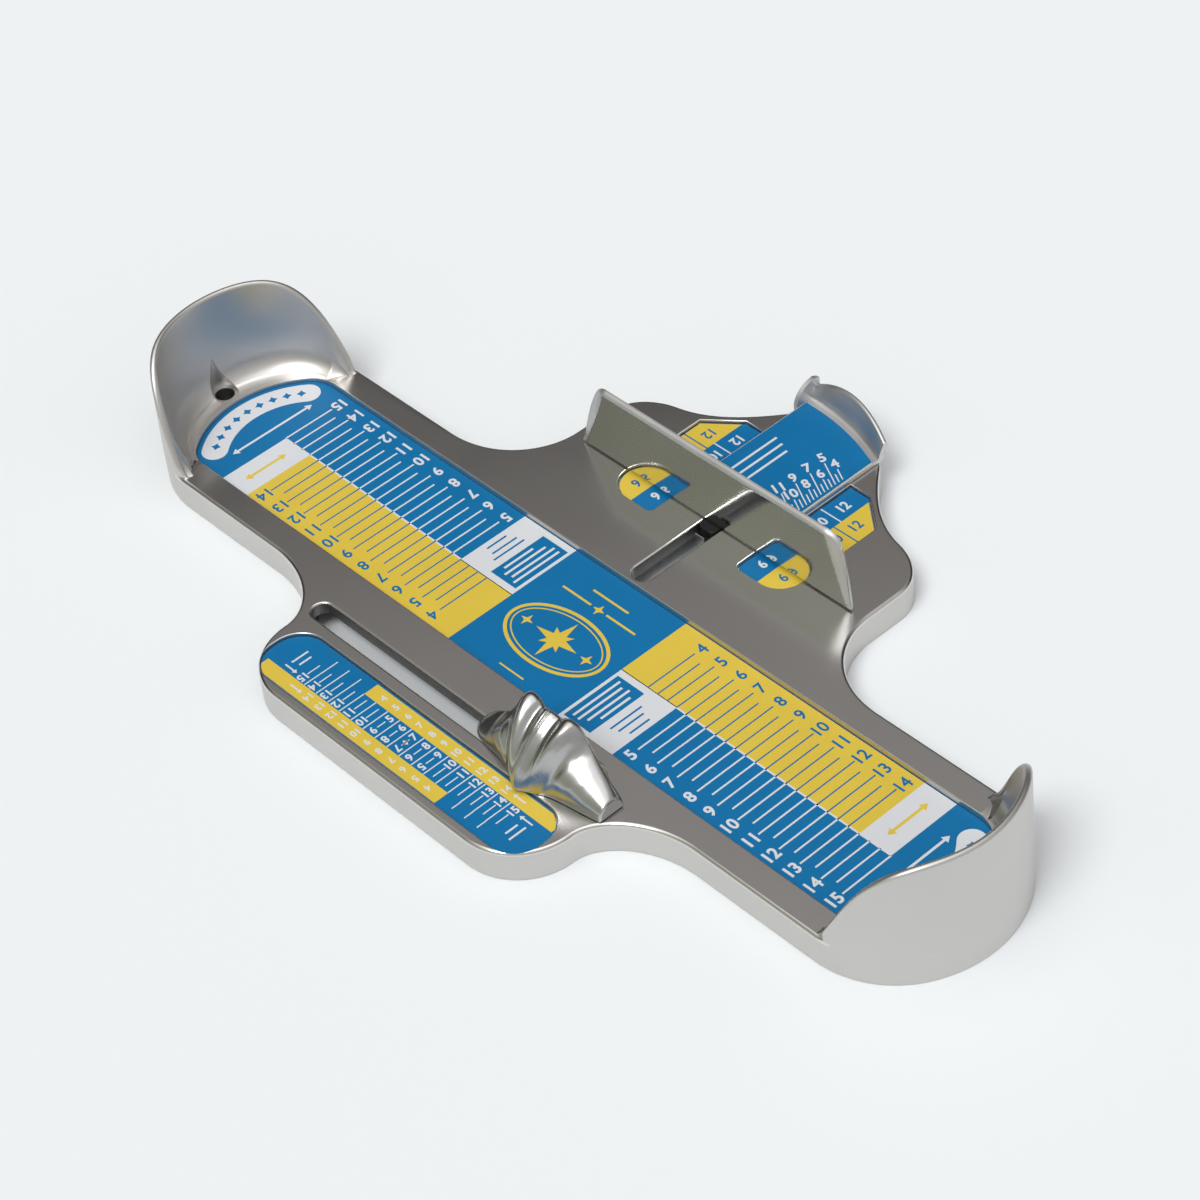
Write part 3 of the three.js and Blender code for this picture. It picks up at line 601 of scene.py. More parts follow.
class NodeSheet:
    """A short way to write a shader or geometry tree."""

    def __init__(self, tree: bpy.types.NodeTree) -> None:
        """Starts from an existing tree."""
        self.tree = tree

    def feed(self, node: bpy.types.Node, inputs: Mapping[str, object]) -> None:
        """Sets a node's inputs, or links them where the value is another node's output.

        Args:
            node: The node.
            inputs: Values or outputs by the name of the input.
        """
        for name, value in inputs.items():
            if isinstance(value, bpy.types.NodeSocket):
                self.tree.links.new(value, node.inputs[name])
            else:
                node.inputs[name].default_value = value

    def add(self, kind: str, inputs: Mapping[str, object] | None = None,
            **settings: object) -> bpy.types.Node:
        """Adds a node.

        Args:
            kind: Its type.
            inputs: Values or outputs by the name of the input.
            **settings: Its properties.

        Returns:
            The node.
        """
        node = self.tree.nodes.new(kind)
        for name, value in settings.items():
            setattr(node, name, value)
        self.feed(node, inputs or {})
        return node

    def ease(self, value: Socket, start_end: Point, result: Point = (0.0, 1.0)) -> Socket:
        """Adds a smooth change between two results as a value goes from start to end.

        Args:
            value: What goes from start to end.
            start_end: Its values there.
            result: The results there.

        Returns:
            The output.
        """
        names = ("From Min", "From Max", "To Min", "To Max")
        return self.add("ShaderNodeMapRange",
                        {"Value": value, **dict(zip(names, (*start_end, *result)))},
                        interpolation_type="SMOOTHSTEP").outputs["Result"]

    def shades(self, value: Socket, stops: Sequence[Point], tint: Triple,
               interpolation: str = "LINEAR") -> Socket:
        """Adds a ramp through shades of one colour.

        Args:
            value: What it depends on.
            stops: Pairs of value and brightness.
            tint: The colour.
            interpolation: How the ramp runs between its stops.

        Returns:
            The output.
        """
        node = self.add("ShaderNodeValToRGB", {"Fac": value})
        node.color_ramp.interpolation = interpolation
        elements = node.color_ramp.elements
        while len(elements) < len(stops):
            elements.new(0.5)
        for element, (place, level) in zip(elements, stops):
            element.position = place
            element.color = (*[level * channel for channel in tint], 1.0)
        return node.outputs["Color"]


class Paint(NodeSheet):
    """A material whose patterns read Object coordinates."""

    def __init__(self, name: str) -> None:
        """Starts a material with its shader.

        Args:
            name: The material's name.
        """
        self.material = bpy.data.materials.new(name)
        self.material.use_nodes = True
        super().__init__(self.material.node_tree)
        self.shader = self.tree.nodes["Principled BSDF"]
        self.place = self.add("ShaderNodeTexCoord").outputs["Object"]

    def noise(self, cells: float, detail: float, stretch: float = 1.0) -> Socket:
        """Adds noise.

        Args:
            cells: Its cells per metre.
            detail: How fine its finest part is.
            stretch: How much longer its cells are along X than across.

        Returns:
            The output.
        """
        place = self.place
        if stretch != 1.0:
            place = self.add("ShaderNodeMapping", {"Vector": place, "Scale": (
                1.0 / stretch, 1.0, 1.0)}).outputs["Vector"]
        return self.add("ShaderNodeTexNoise", {"Vector": place, "Scale": cells,
                                               "Detail": detail}).outputs["Fac"]

    def relief(self, height: float, pattern: Socket, under: Socket | None = None) -> Socket:
        """Adds relief of a height in millimetres, over other relief where there is some.

        Args:
            height: Its height.
            pattern: Its pattern.
            under: The other relief.

        Returns:
            The output.
        """
        inputs = {"Distance": height * MILLIMETRE, "Height": pattern}
        if under is not None:
            inputs["Normal"] = under
        return self.add("ShaderNodeBump", inputs).outputs["Normal"]

    def finish(self, **inputs: object) -> Material:
        """Feeds the shader, whose inputs are named with _ for a space, and ends the material."""
        self.feed(self.shader, {name.replace("_", " "): value for name, value in inputs.items()})
        return self.material


@dataclass(frozen=True)
class Metal:
    """Bare metal with fine finishing marks and soft unevenness.

    Attributes:
        name: The material's name.
        tint: Colour of its reflections.
        roughness: Lowest and highest roughness.
        wave: Height of the slow unevenness, in millimetres, and its cells per metre.
        marks: Height of the fine marks, in millimetres, and their cells per metre.
        stretch: How much longer the marks are along X than across.
        blotches: How many times finer the changes of roughness are than the unevenness.
        blotch_range: Noise between which the roughness changes.
        details: Noise detail of the blotches, the unevenness and the marks.
    """

    name: str
    tint: Triple
    roughness: Point
    wave: Point
    marks: Point
    stretch: float = 1.0
    blotches: float = 2.2
    blotch_range: Point = (0.2, 0.8)
    details: Triple = (2.0, 1.0, 3.0)

    def build(self) -> Material:
        """Makes the material.

        Returns:
            The material.
        """
        paint = Paint(self.name)
        blotch = paint.noise(self.wave[1] * self.blotches, self.details[0])
        slow = paint.relief(self.wave[0], paint.noise(self.wave[1], self.details[1]))
        marks = paint.noise(self.marks[1], self.details[2], self.stretch)
        return paint.finish(Metallic=1.0, Base_Color=(*self.tint, 1.0),
                            Roughness=paint.ease(blotch, self.blotch_range, self.roughness),
                            Normal=paint.relief(self.marks[0], marks, slow))


@dataclass(frozen=True)
class Coating:
    """Print, plastic or film: one colour with a slight unevenness.

    Attributes:
        name: The material's name.
        colour: Its colour.
        roughness: Its roughness.
        shade: How much lighter and darker the colour varies.
        grain: Height of its grain, in millimetres, and cells per metre.
        gloss: Strength of its reflections.
        cloud: Cells per metre of the colour's variation, and their detail.
        cloud_range: Noise at the darker and the lighter colour.
        grain_detail: Noise detail of the grain.
    """

    name: str
    colour: Triple
    roughness: float
    shade: float
    grain: Point
    gloss: float = 0.3
    cloud: Point = (60.0, 5.0)
    cloud_range: Point = (0.3, 0.7)
    grain_detail: float = 2.0

    def build(self) -> Material:
        """Makes the material.

        Returns:
            The material.
        """
        paint = Paint(self.name)
        stops = list(zip(self.cloud_range, (1 - self.shade, 1 + self.shade)))
        grain = paint.noise(self.grain[1], self.grain_detail)
        return paint.finish(Base_Color=paint.shades(paint.noise(*self.cloud), stops, self.colour),
                            Roughness=self.roughness, Specular_IOR_Level=self.gloss,
                            Normal=paint.relief(self.grain[0], grain))


def srgb(*colour: int) -> Triple:
    """Turns a display colour of 0 to 255 into linear light."""
    shares = [value / 255 for value in colour]
    return tuple(s / 12.92 if s <= 0.04045 else ((s + 0.055) / 1.055) ** 2.4 for s in shares)


class Finishes:
    """All the materials, made once."""

    def __init__(self) -> None:
        """Builds every finish.
        """
        self.cast = Metal("cast_satin", (0.70, 0.685, 0.67), (0.15, 0.23), (0.02, 9.0),
                          (0.003, 900.0), 6.0).build()
        self.cup = Metal("cast_matt", (0.61, 0.595, 0.575), (0.33, 0.46), (0.03, 12.0),
                         (0.005, 900.0), 2.0).build()
        self.brushed = Metal("brushed_slide", (0.64, 0.64, 0.64), (0.42, 0.54), (0.03, 30.0),
                             (0.005, 1100.0), 3.0).build()
        self.polished = Metal("mirror_polish", (0.78, 0.78, 0.765), (0.07, 0.12), (0.04, 14.0),
                              (0.0012, 1400.0), 3.0).build()
        self.pointer = Metal("satin_pointer", (0.5, 0.5, 0.495), (0.2, 0.28), (0.3, 120.0),
                             (0.003, 1400.0), 3.0).build()
        # Rough as-cast finish of the hollow underside and the slot walls; its dark tint is painted
        # shade in these recesses.
        self.inside = Metal("as_cast_painted_shade", (0.30, 0.296, 0.292), (0.38, 0.52), (0.03, 200.0),
                            (0.02, 1800.0)).build()
        self.inks = {
            ink: Coating(ink.value, srgb(*colour), 0.42, shade, (0.006, 2600.0)).build()
            for ink, colour, shade in ((Ink.BLUE, (0, 109, 165), 0.04),
                                       (Ink.YELLOW, (219, 191, 70), 0.03),
                                       (Ink.WHITE, (214, 217, 222), 0.02))
        }
        self.film = Coating("adhesive_film", srgb(214, 209, 192), 0.7, 0.03, (0.01, 1500.0)).build()
        self.nylon = Coating("black_nylon_moulding", srgb(24, 25, 27), 0.45, 0.15,
                             (0.02, 1800.0)).build()
        self.spring = Metal("bright_spring_strip", (0.78, 0.79, 0.80), (0.14, 0.22), (0.01, 40.0),
                            (0.002, 2200.0), 8.0).build()
        self.zinc = Metal("zinc_plate", (0.62, 0.64, 0.66), (0.28, 0.40), (0.02, 40.0),
                          (0.004, 2400.0)).build()


@dataclass
class BaseCasting:
    """The cast base with its heel cups, wings, recesses, slots and hollow underside."""

    heel_to_heel: float = 349.8
    height: float = 11.4
    skirt: float = 4.0
    web: float = 4.5
    band_web: float = 4.0
    edge_round: float = 1.2
    fine_round: float = 0.35
    lip_round: float = 0.45
    lip_from: float = 151.0
    slot_round: float = 0.7
    waist: float = 38.0
    rib: float = 3.0
    rib_foot: float = 1.5
    rib_places: tuple[float, ...] = (98.0, 132.0)
    cup_height: float = 47.0
    rim: float = 2.4
    cup_wall: float = 4.2
    cup_draft: float = 0.8
    corner_inset: float = 4.0
    end_flatness: float = 8.0
    floor_drop: float = 0.8
    fillet: float = 8.0
    rim_run: float = 57.0
    floor_short: float = 3.0
    floor_ramp: float = 5.5
    seat: float = 0.03
    hole_radius: float = 3.3
    hole_to_wall: float = 4.0
    relief_rise: float = 13.0
    relief_radius: float = 4.9
    plate_gap: float = 0.3
    foot_gap: float = 0.08
    foot_drop: float = 2.0
    small_drop: float = 1.0
    plate_depth: float = 1.0
    foot_half_width: float = 27.7
    heel_floor: float = 9.9
    foot_end_radius: float = 36.0
    foot_corner_radius: float = 12.0
    wing: float = 66.3
    arch_corner: float = 22.0
    blend: float = 30.7
    arch_plate: Point = (124.2, 22.1)
    arch_plate_flat: float = 2.1
    arch_margin: float = 3.75
    arch_land: float = 4.6
    arch_slot: Point = (65.8, 7.4)
    arch_band: float = 4.9
    side_start: float = 28.0
    side_length: float = 14.0
    shoulder: Point = (16.3, 16.8)
    tongue: Point = (20.5, 22.2)
    tongue_cap: Point = (10.0, 5.5)
    width_plate: Triple = (19.6, 54.6, 51.4)
    width_plate_width: float = 20.0
    chamfer: Point = (11.9, 9.6)
    window_radius: float = 9.0
    window_small_radius: float = 2.0
    width_slot: Triple = (7.6, 29.5, 114.0)
    wall_steps: int = 228
    inside_step: float = 0.5
    cup_from: float = 150.0
    ease: float = 0.3
    relief_tip: float = 0.15
    relief_behind: float = 0.2
    deck_margin: float = 0.1
    upright: float = 0.1
    below: float = -1.0
    above: float = 2.0
    arch_pull: Point = (10.34, 13.8)
    width_pull: float = 11.7
    shoulder_pull: Triple = (8.4, 7.0, 2.0)
    tongue_pull: tuple[float, float, float, float] = (12.7, 2.9, 8.0, 10.0)
    cap_pull: Point = (2.0, 4.0)
    rim_powers: tuple[int, float] = (5, 1.6)
    rim_blend: float = 6.0
    least_rise: float = 0.05
    least_rim: float = 0.4
    fillet_share: float = 0.55

    @property
    def reach(self) -> float:
        """Half the base's length."""
        return self.heel_to_heel / 2 + self.cup_wall

    @property
    def corner_radius(self) -> float:
        """Radius of the cup's corners in plan."""
        return self.waist - self.corner_inset

    @property
    def end_radius(self) -> float:
        """Radius of the cup's flatter end in plan."""
        return self.corner_radius + self.end_flatness

    @property
    def wing_underside(self) -> float:
        """Height of the wings' underside."""
        return self.height - self.web

    @property
    def cup_deck(self) -> float:
        """Height of the cups' floors."""
        return self.height - self.floor_drop

    @property
    def foot_floor(self) -> float:
        """Height of the foot recess's floor."""
        return self.height - self.foot_drop - self.plate_depth

    @property
    def arch_wing_y(self) -> float:
        """The arch wing's outer edge."""
        return -(self.waist + self.arch_band + self.arch_slot[1] + self.arch_land
                 + self.arch_plate[1] + self.arch_margin)

    @property
    def arch_plate_y(self) -> float:
        """The arch plate's middle line."""
        return self.arch_wing_y + self.arch_margin + self.arch_plate[1] / 2

    @property
    def arch_slot_y(self) -> float:
        """The arch slot's middle line."""
        return (self.arch_plate_y + self.arch_plate[1] / 2 + self.arch_land
                + self.arch_slot[1] / 2)

    def heel_wall(self, run: float) -> tuple[Rows, Rows]:
        """Finds a place on the heel's outer wall.

        Args:
            run: Length round the wall from its middle, positive towards the width bar.

        Returns:
            The point and its outward normal, in plan.
        """
        end, corner = self.end_radius, self.corner_radius
        end_centre = self.reach - end
        corner_y = self.waist - corner
        corner_x = end_centre + sqrt((end - corner) ** 2 - corner_y**2)
        meeting = atan2(corner_y, corner_x - end_centre)
        side, length = copysign(1, run), abs(run)
        end_run = meeting * end
        corner_run = (pi / 2 - meeting) * corner
        if length <= end_run:
            angle, radius, centre = length / end, end, np.array([end_centre, 0.0])
        elif length <= end_run + corner_run:
            angle = meeting + (length - end_run) / corner
            radius, centre = corner, np.array([corner_x, side * corner_y])
        else:
            point = np.array([corner_x - (length - end_run - corner_run), side * self.waist])
            return point, np.array([0.0, side])
        normal = np.array([cos(angle), side * sin(angle)])
        return centre + normal * radius, normal

    def wall_runs(self) -> Rows:
        """Runs round the heel at which the wall is drawn."""
        return np.linspace(-self.rim_run, self.rim_run, self.wall_steps + 1)

    def outline(self) -> Rows:
        """Outlines the base in plan.

        Returns:
            The closed outline, symmetric about the Y axis.
        """
        wing, waist, y0 = self.wing, self.waist, self.arch_wing_y
        corner, blend = self.arch_corner, self.blend
        side_y = waist + self.side_start
        side_end = side_y + self.side_length
        shoulder_x = wing - self.shoulder[0]
        shoulder_y = side_end + self.shoulder[1]
        neck_x, neck_y = self.tongue[0], shoulder_y + self.tongue[1]
        cap_x, cap_y = self.tongue_cap[0], neck_y + self.tongue_cap[1]
        points: list[Point] = [(0.0, y0)]
        points += arc((wing - corner, y0 + corner), corner, -90, 0, 40)
        points += bezier([(wing, y0 + corner), (wing, y0 + corner + self.arch_pull[0]),
                          (wing + self.arch_pull[1], -waist), (wing + blend, -waist)], 60)
        points += [tuple(self.heel_wall(run)[0]) for run in self.wall_runs()]
        points += bezier([(wing + blend, waist), (wing + self.width_pull, waist),
                          (wing, waist + self.side_start / 2), (wing, side_y)], 60)
        rise, back, down = self.shoulder_pull
        points += bezier([(wing, side_end), (wing, side_end + rise),
                          (wing - back, shoulder_y - down), (shoulder_x, shoulder_y)])
        back, rise, out, down = self.tongue_pull
        points += bezier([(shoulder_x, shoulder_y), (shoulder_x - back, shoulder_y + rise),
                          (neck_x + out, neck_y - down), (neck_x, neck_y)])
        near, far = self.cap_pull
        points += bezier([(neck_x, neck_y), ((neck_x + cap_x) / 2 + near, cap_y - near),
                          (cap_x + far, cap_y), (cap_x, cap_y)], 20)
        other = [(-x, y) for x, y in reversed(points)]
        return tidy_outline(points + other)

    def foot_outline(self, extra: float) -> Rows:
        """Outlines the foot plate, grown outward by extra.

        Args:
            extra: How far.

        Returns:
            The outline.
        """
        width = self.foot_half_width + extra
        corner, end = self.foot_corner_radius + extra, self.foot_end_radius + extra
        reach = self.heel_to_heel / 2 - self.heel_floor + extra
        corner_y, centre = width - corner, reach - end
        corner_x = centre + sqrt((end - corner) ** 2 - corner_y**2)
        meeting = degrees(atan2(corner_y, corner_x - centre))
        half = arc((corner_x, -corner_y), corner, -90, -meeting, 24)
        half += arc((centre, 0), end, -meeting, meeting, 40)
        half += arc((corner_x, corner_y), corner, meeting, 90, 24)
        return tidy_outline(half + [(-x, -y) for x, y in half])

    def arch_outline(self, extra: float) -> Rows:
        """Outlines the arch plate, grown outward by extra.

        Args:
            extra: How far.

        Returns:
            The outline.
        """
        length, width = (size / 2 + extra for size in self.arch_plate)
        radius = (self.arch_plate[1] - self.arch_plate_flat) / 2 + extra
        middle = self.arch_plate_y
        return rounded_rectangle((-length, length), (middle - width, middle + width),
                                 [radius] * 4, 24)

    def width_outline(self, side: int, extra: float) -> Rows:
        """Outlines one width plate, grown outward by extra.

        Args:
            side: 1 for the near plate, -1 for the far one.
            extra: How far.

        Returns:
            The outline.
        """
        inner = self.width_plate[0] - extra
        outer = self.width_plate[0] + self.width_plate_width + extra
        low = self.width_plate[1] - extra
        high = self.width_plate[1] + self.width_plate[2] + extra
        large, small = self.window_radius, self.window_small_radius
        points = arc((outer - large, low + large), large, -90, 0, 24)
        points += [(outer, high - self.chamfer[1]), (outer - self.chamfer[0], high),
                   (inner, high)]
        points += arc((inner + small, low + small), small, 180, 270, 10)
        return tidy_outline([(side * x, y) for x, y in points])

    def rim_height(self, run: float) -> float:
        """Height of the cup's rim at a place round its wall.

        Args:
            run: Length round the wall from its middle.

        Returns:
            The height.
        """
        flat, fall = self.rim_powers
        share = min(abs(run) / self.rim_run, 1.0)
        return self.height + (self.cup_height - self.height) * (1 - share**flat) ** fall

    def cup_section(self, rim: float) -> list[Point]:
        """Draws a section of the cup wall.

        Args:
            rim: Height of the rim there.

        Returns:
            Inward distances and heights, over the rim and down to the floor.
        """
        floor = self.cup_deck
        rise = max(rim - self.height, self.least_rise)
        draft = self.cup_draft * rise / (self.cup_height - self.height)
        inner = draft + min(self.rim, self.cup_wall - draft)
        rounding = min(self.rim / 2, rise / 2)
        fillet = min(self.fillet, rise * self.fillet_share + self.floor_drop)
        blend = 1 - smooth_step(0, self.rim_blend, rise)
        section = [(distance * blend, z) for distance, z in
                   edge_levels(self.edge_round, self.height)]
        foot = section[-1][0]
        start = max(draft, foot)
        for share in np.linspace(0, 1, 7)[1:-1]:
            section.append((mix(foot, start, share), mix(self.height, rim - rounding, share)))
        section += round_over(start, max(inner, start + self.least_rim), rim, rounding)
        for share in np.linspace(0, 1, 9)[1:-1]:
            section.append((mix(inner, self.cup_wall, share),
                            mix(rim - rounding, floor + fillet, share)))
        for angle in np.linspace(0, pi / 2, 13):
            section.append((self.cup_wall + fillet * (1 - cos(angle)),
                            floor - self.seat + fillet * (1 - sin(angle))))
        section.append((self.cup_wall + fillet, self.height - self.edge_round))
        return section

    def cup(self, side: int) -> Solid:
        """Makes one heel cup's wall as a closed body.

        Args:
            side: 1 for the near cup, -1 for the far one.

        Returns:
            The wall.
        """
        rings = []
        for run in self.wall_runs():
            point, normal = self.heel_wall(run)
            rings.append(np.array([
                (side * (point[0] - normal[0] * inward), side * (point[1] - normal[1] * inward), z)
                for inward, z in self.cup_section(self.rim_height(run))
            ]))
        return loft("cup", rings)

    def cup_floor(self, side: int) -> Solid:
        """Makes the solid that lowers the floor inside one cup.

        Args:
            side: 1 for the near cup, -1 for the far one.

        Returns:
            The cutter.
        """
        limit = self.rim_run - self.floor_short
        points = []
        for run in np.linspace(-limit, limit, 160):
            point, normal = self.heel_wall(run)
            inside = point - normal * (self.cup_wall + self.ease)
            points.append((side * inside[0], side * inside[1]))
        return stack("cup_floor", tidy_outline(points),
                     [(self.floor_ramp, self.cup_deck), (0, self.height), (0, self.cup_height)])

    def lip(self, side: int) -> Solid:
        """Makes the cutter that rounds the recess edge where the cup's floor is lower.

        Args:
            side: 1 for the near cup, -1 for the far one.

        Returns:
            The cutter.
        """
        outline = self.foot_outline(self.foot_gap)
        ends = np.array([(max(side * x, self.lip_from) * side, y) for x, y in outline])
        return stack("lip", tidy_outline(ends),
                     [*edge_levels(self.lip_round, self.cup_deck, True),
                      (-self.lip_round, self.cup_deck + 0.1)])

    def hang_hole(self) -> Solid:
        """Makes the hang hole's cutter, with the relief that runs up the heel wall.

        Returns:
            The cutter.
        """
        wall = -self.heel_to_heel / 2
        middle = wall + self.hole_to_wall
        floor, ease = self.cup_deck, self.ease
        hole = stack("hang_hole", tidy_outline(arc((middle, 0.0), self.hole_radius, 0, 360, 48)),
                     [(-ease, -ease), (0.0, ease), (0.0, floor - ease), (-ease, floor + 0.5)])
        rings = []
        for share in np.linspace(0, 1, 10):
            radius = mix(self.relief_radius, self.relief_tip, share)
            centre = mix(middle, wall - self.relief_behind, share**0.8)
            height = floor - 0.05 + self.relief_rise * share
            rings.append(np.array([(x, y, height)
                                   for x, y in arc((centre, 0.0), radius, 0, 360, 48)[:-1]]))
        return combine(hole, Join.UNION, loft("relief", rings))

    def underside(self, outline: Rows) -> Solid:
        """Makes the hollow under the wings, clear of the band that carries the foot plate.

        Args:
            outline: The base's plan.

        Returns:
            The cutter.
        """
        hollow = stack("hollow", inset(outline, self.skirt),
                       [(-self.ease, self.below), (-self.ease, 0.0), (0.0, 2 * self.ease),
                        (0.0, self.wing_underside)])
        half = self.foot_half_width + self.plate_gap + self.band_web
        end = self.reach - self.skirt / 2
        band = stack("band", rounded_rectangle((-end, end), (-half, half), [1.0] * 4, 3),
                     [(0, self.foot_floor - self.band_web), (0, self.height)])
        return combine(hollow, Join.CUT, band)

    def slots(self, grow: float = 0.0) -> list[Rows]:
        """Outlines the arch slot and the width slot, grown outward by a distance.

        Args:
            grow: The distance.

        Returns:
            Both outlines.
        """
        length, half = self.arch_slot[0] + grow, self.arch_slot[1] / 2 + grow
        width, inner, outer = self.width_slot
        return [slot_outline((-length, length), (self.arch_slot_y - half, self.arch_slot_y + half)),
                slot_outline((-width / 2 - grow, width / 2 + grow), (inner - grow, outer + grow))]

    def opening(self, outline: Rows, floor: float, rounding: float) -> Solid:
        """Makes the cutter of a recess or a slot, which also rounds its top edge."""
        return stack("opening", outline, [(0.0, floor), *edge_levels(rounding, self.height, True),
                                          (-rounding, self.height + self.above)])

    def openings(self) -> list[Solid]:
        """Makes the cutters of the recesses, the slots and the hang hole.

        Returns:
            The cutters.
        """
        small_floor = self.height - self.small_drop - self.plate_depth
        small = [self.arch_outline(self.plate_gap), self.width_outline(1, self.plate_gap),
                 self.width_outline(-1, self.plate_gap)]
        return [self.opening(self.foot_outline(self.foot_gap), self.foot_floor, self.fine_round),
                self.lip(1), self.lip(-1),
                *(self.opening(outline, small_floor, self.fine_round) for outline in small),
                *(self.opening(outline, self.below, self.slot_round) for outline in self.slots()),
                self.hang_hole()]

    def paint(self, body: Solid, outline: Rows, finishes: Finishes) -> None:
        """Gives the deck, the hollows and the cups their own finish; the hollows and slot walls
        take a dark as-cast tint that is painted shade.

        Args:
            body: The casting.
            outline: Its plan.
            finishes: The materials.
        """
        coat(body, finishes.cast, finishes.inside, finishes.cup)
        centres, normals = (np.array([getattr(face, kind) for face in body.data.polygons])
                            for kind in ("center", "normal"))

        def inside(points: Rows, plan: Rows) -> Rows:
            """Tells which points in metres lie inside an outline in millimetres."""
            return within(points, PLACE.metres(np.insert(plan, 2, 0.0, axis=1)))

        inner = inside(centres + normals * self.inside_step * MILLIMETRE, outline)
        heights = centres[:, 2] / MILLIMETRE
        in_cup = heights > self.height + self.deck_margin
        in_cup |= ((np.abs(centres[:, 0]) / MILLIMETRE > self.cup_from)
                   & (heights < self.height - self.deck_margin))
        skirt = ~inner & (heights < self.height - self.edge_round)
        arch_slot, width_slot = (inside(centres, hole) for hole in self.slots(self.inside_step))
        in_slot = (arch_slot | width_slot) & (heights < self.height - self.slot_round)
        wall = (inner & (np.abs(normals[:, 2]) < self.upright)
                & (heights < self.height - self.fine_round))
        # Painted shade: the hollow underside and the slot walls below their rounding take the dark
        # as-cast finish.
        hollow = inner & (heights < self.foot_floor) | in_slot
        index = np.where(hollow, 1, np.where(in_cup | skirt | wall, 2, 0))
        body.data.polygons.foreach_set("material_index", index.astype(np.int32))

    def ribs(self) -> list[Solid]:
        """Makes the cross ribs under the waist.

        Returns:
            The ribs.
        """
        inner = self.waist - self.skirt / 2
        half = self.rib / 2
        return [
            stack("rib", rounded_rectangle((x - half, x + half), (-inner, inner), [0.4] * 4, 3),
                  [(self.ease, self.rib_foot), (0, self.rib_foot + 0.5),
                   (0, self.wing_underside)])
            for place in self.rib_places for x in (place, -place)
        ]

    def build(self, finishes: Finishes) -> None:
        """Makes the casting and dresses it.

        Args:
            finishes: The materials.
        """
        outline = self.outline()
        body = stack("base_casting_fine", outline, [
            (self.ease, 0.0), (0.0, self.ease), *edge_levels(self.edge_round, self.height)])
        combine(body, Join.CUT, self.underside(outline))
        combine(body, Join.UNION, *self.ribs())
        for side in (1, -1):
            combine(body, Join.CUT, self.cup_floor(side))
            combine(body, Join.UNION, self.cup(side))
        combine(body, Join.CUT, *self.openings())
        smooth(body, 32)
        self.paint(body, outline, finishes)
        dress(body, "base", Slot.CAST, "base_casting")


class RowTree:
    """A geometry tree that lays copies of a part in a row."""

    INPUTS = (("Part", "NodeSocketObject"), ("Count", "NodeSocketInt"),
              ("Start", "NodeSocketVector"), ("Step", "NodeSocketVector"),
              ("Size", "NodeSocketVector"), ("Turn", "NodeSocketFloat"),
              ("Material", "NodeSocketMaterial"))

    def __init__(self) -> None:
        """Builds the tree.
        """
        tree = bpy.data.node_groups.new("row_of_parts", "GeometryNodeTree")
        self.tree = tree
        self.sockets = {
            label: tree.interface.new_socket(label, in_out="INPUT", socket_type=kind).identifier
            for label, kind in self.INPUTS
        }
        tree.interface.new_socket("Geometry", in_out="OUTPUT", socket_type="NodeSocketGeometry")
        sheet = NodeSheet(tree)
        given = sheet.add("NodeGroupInput").outputs
        line = sheet.add("GeometryNodeMeshLine", {
            "Count": given["Count"], "Start Location": given["Start"], "Offset": given["Step"],
        }, mode="OFFSET")
        part = sheet.add("GeometryNodeObjectInfo", {"Object": given["Part"]},
                         transform_space="ORIGINAL")
        turn = sheet.add("ShaderNodeCombineXYZ", {"Z": given["Turn"]})
        copies = sheet.add("GeometryNodeInstanceOnPoints", {
            "Points": line.outputs["Mesh"], "Instance": part.outputs["Geometry"],
            "Rotation": turn.outputs["Vector"], "Scale": given["Size"]})
        real = sheet.add("GeometryNodeRealizeInstances", {"Geometry": copies.outputs["Instances"]})
        paint = sheet.add("GeometryNodeSetMaterial", {"Geometry": real.outputs["Geometry"],
                                                      "Material": given["Material"]})
        sheet.add("NodeGroupOutput", {"Geometry": paint.outputs["Geometry"]})

    def lay(self, name: str, **values: object) -> Solid:
        """Lays one row as a plain mesh.

        Args:
            name: The new object's name.
            **values: The tree's inputs by label, lengths in metres.

        Returns:
            The row.
        """
        row = linked(name, bpy.data.meshes.new(name))
        modifier = row.modifiers.new("row", "NODES")
        modifier.node_group = self.tree
        for label, value in values.items():
            modifier[self.sockets[label]] = value
        return settle(row)


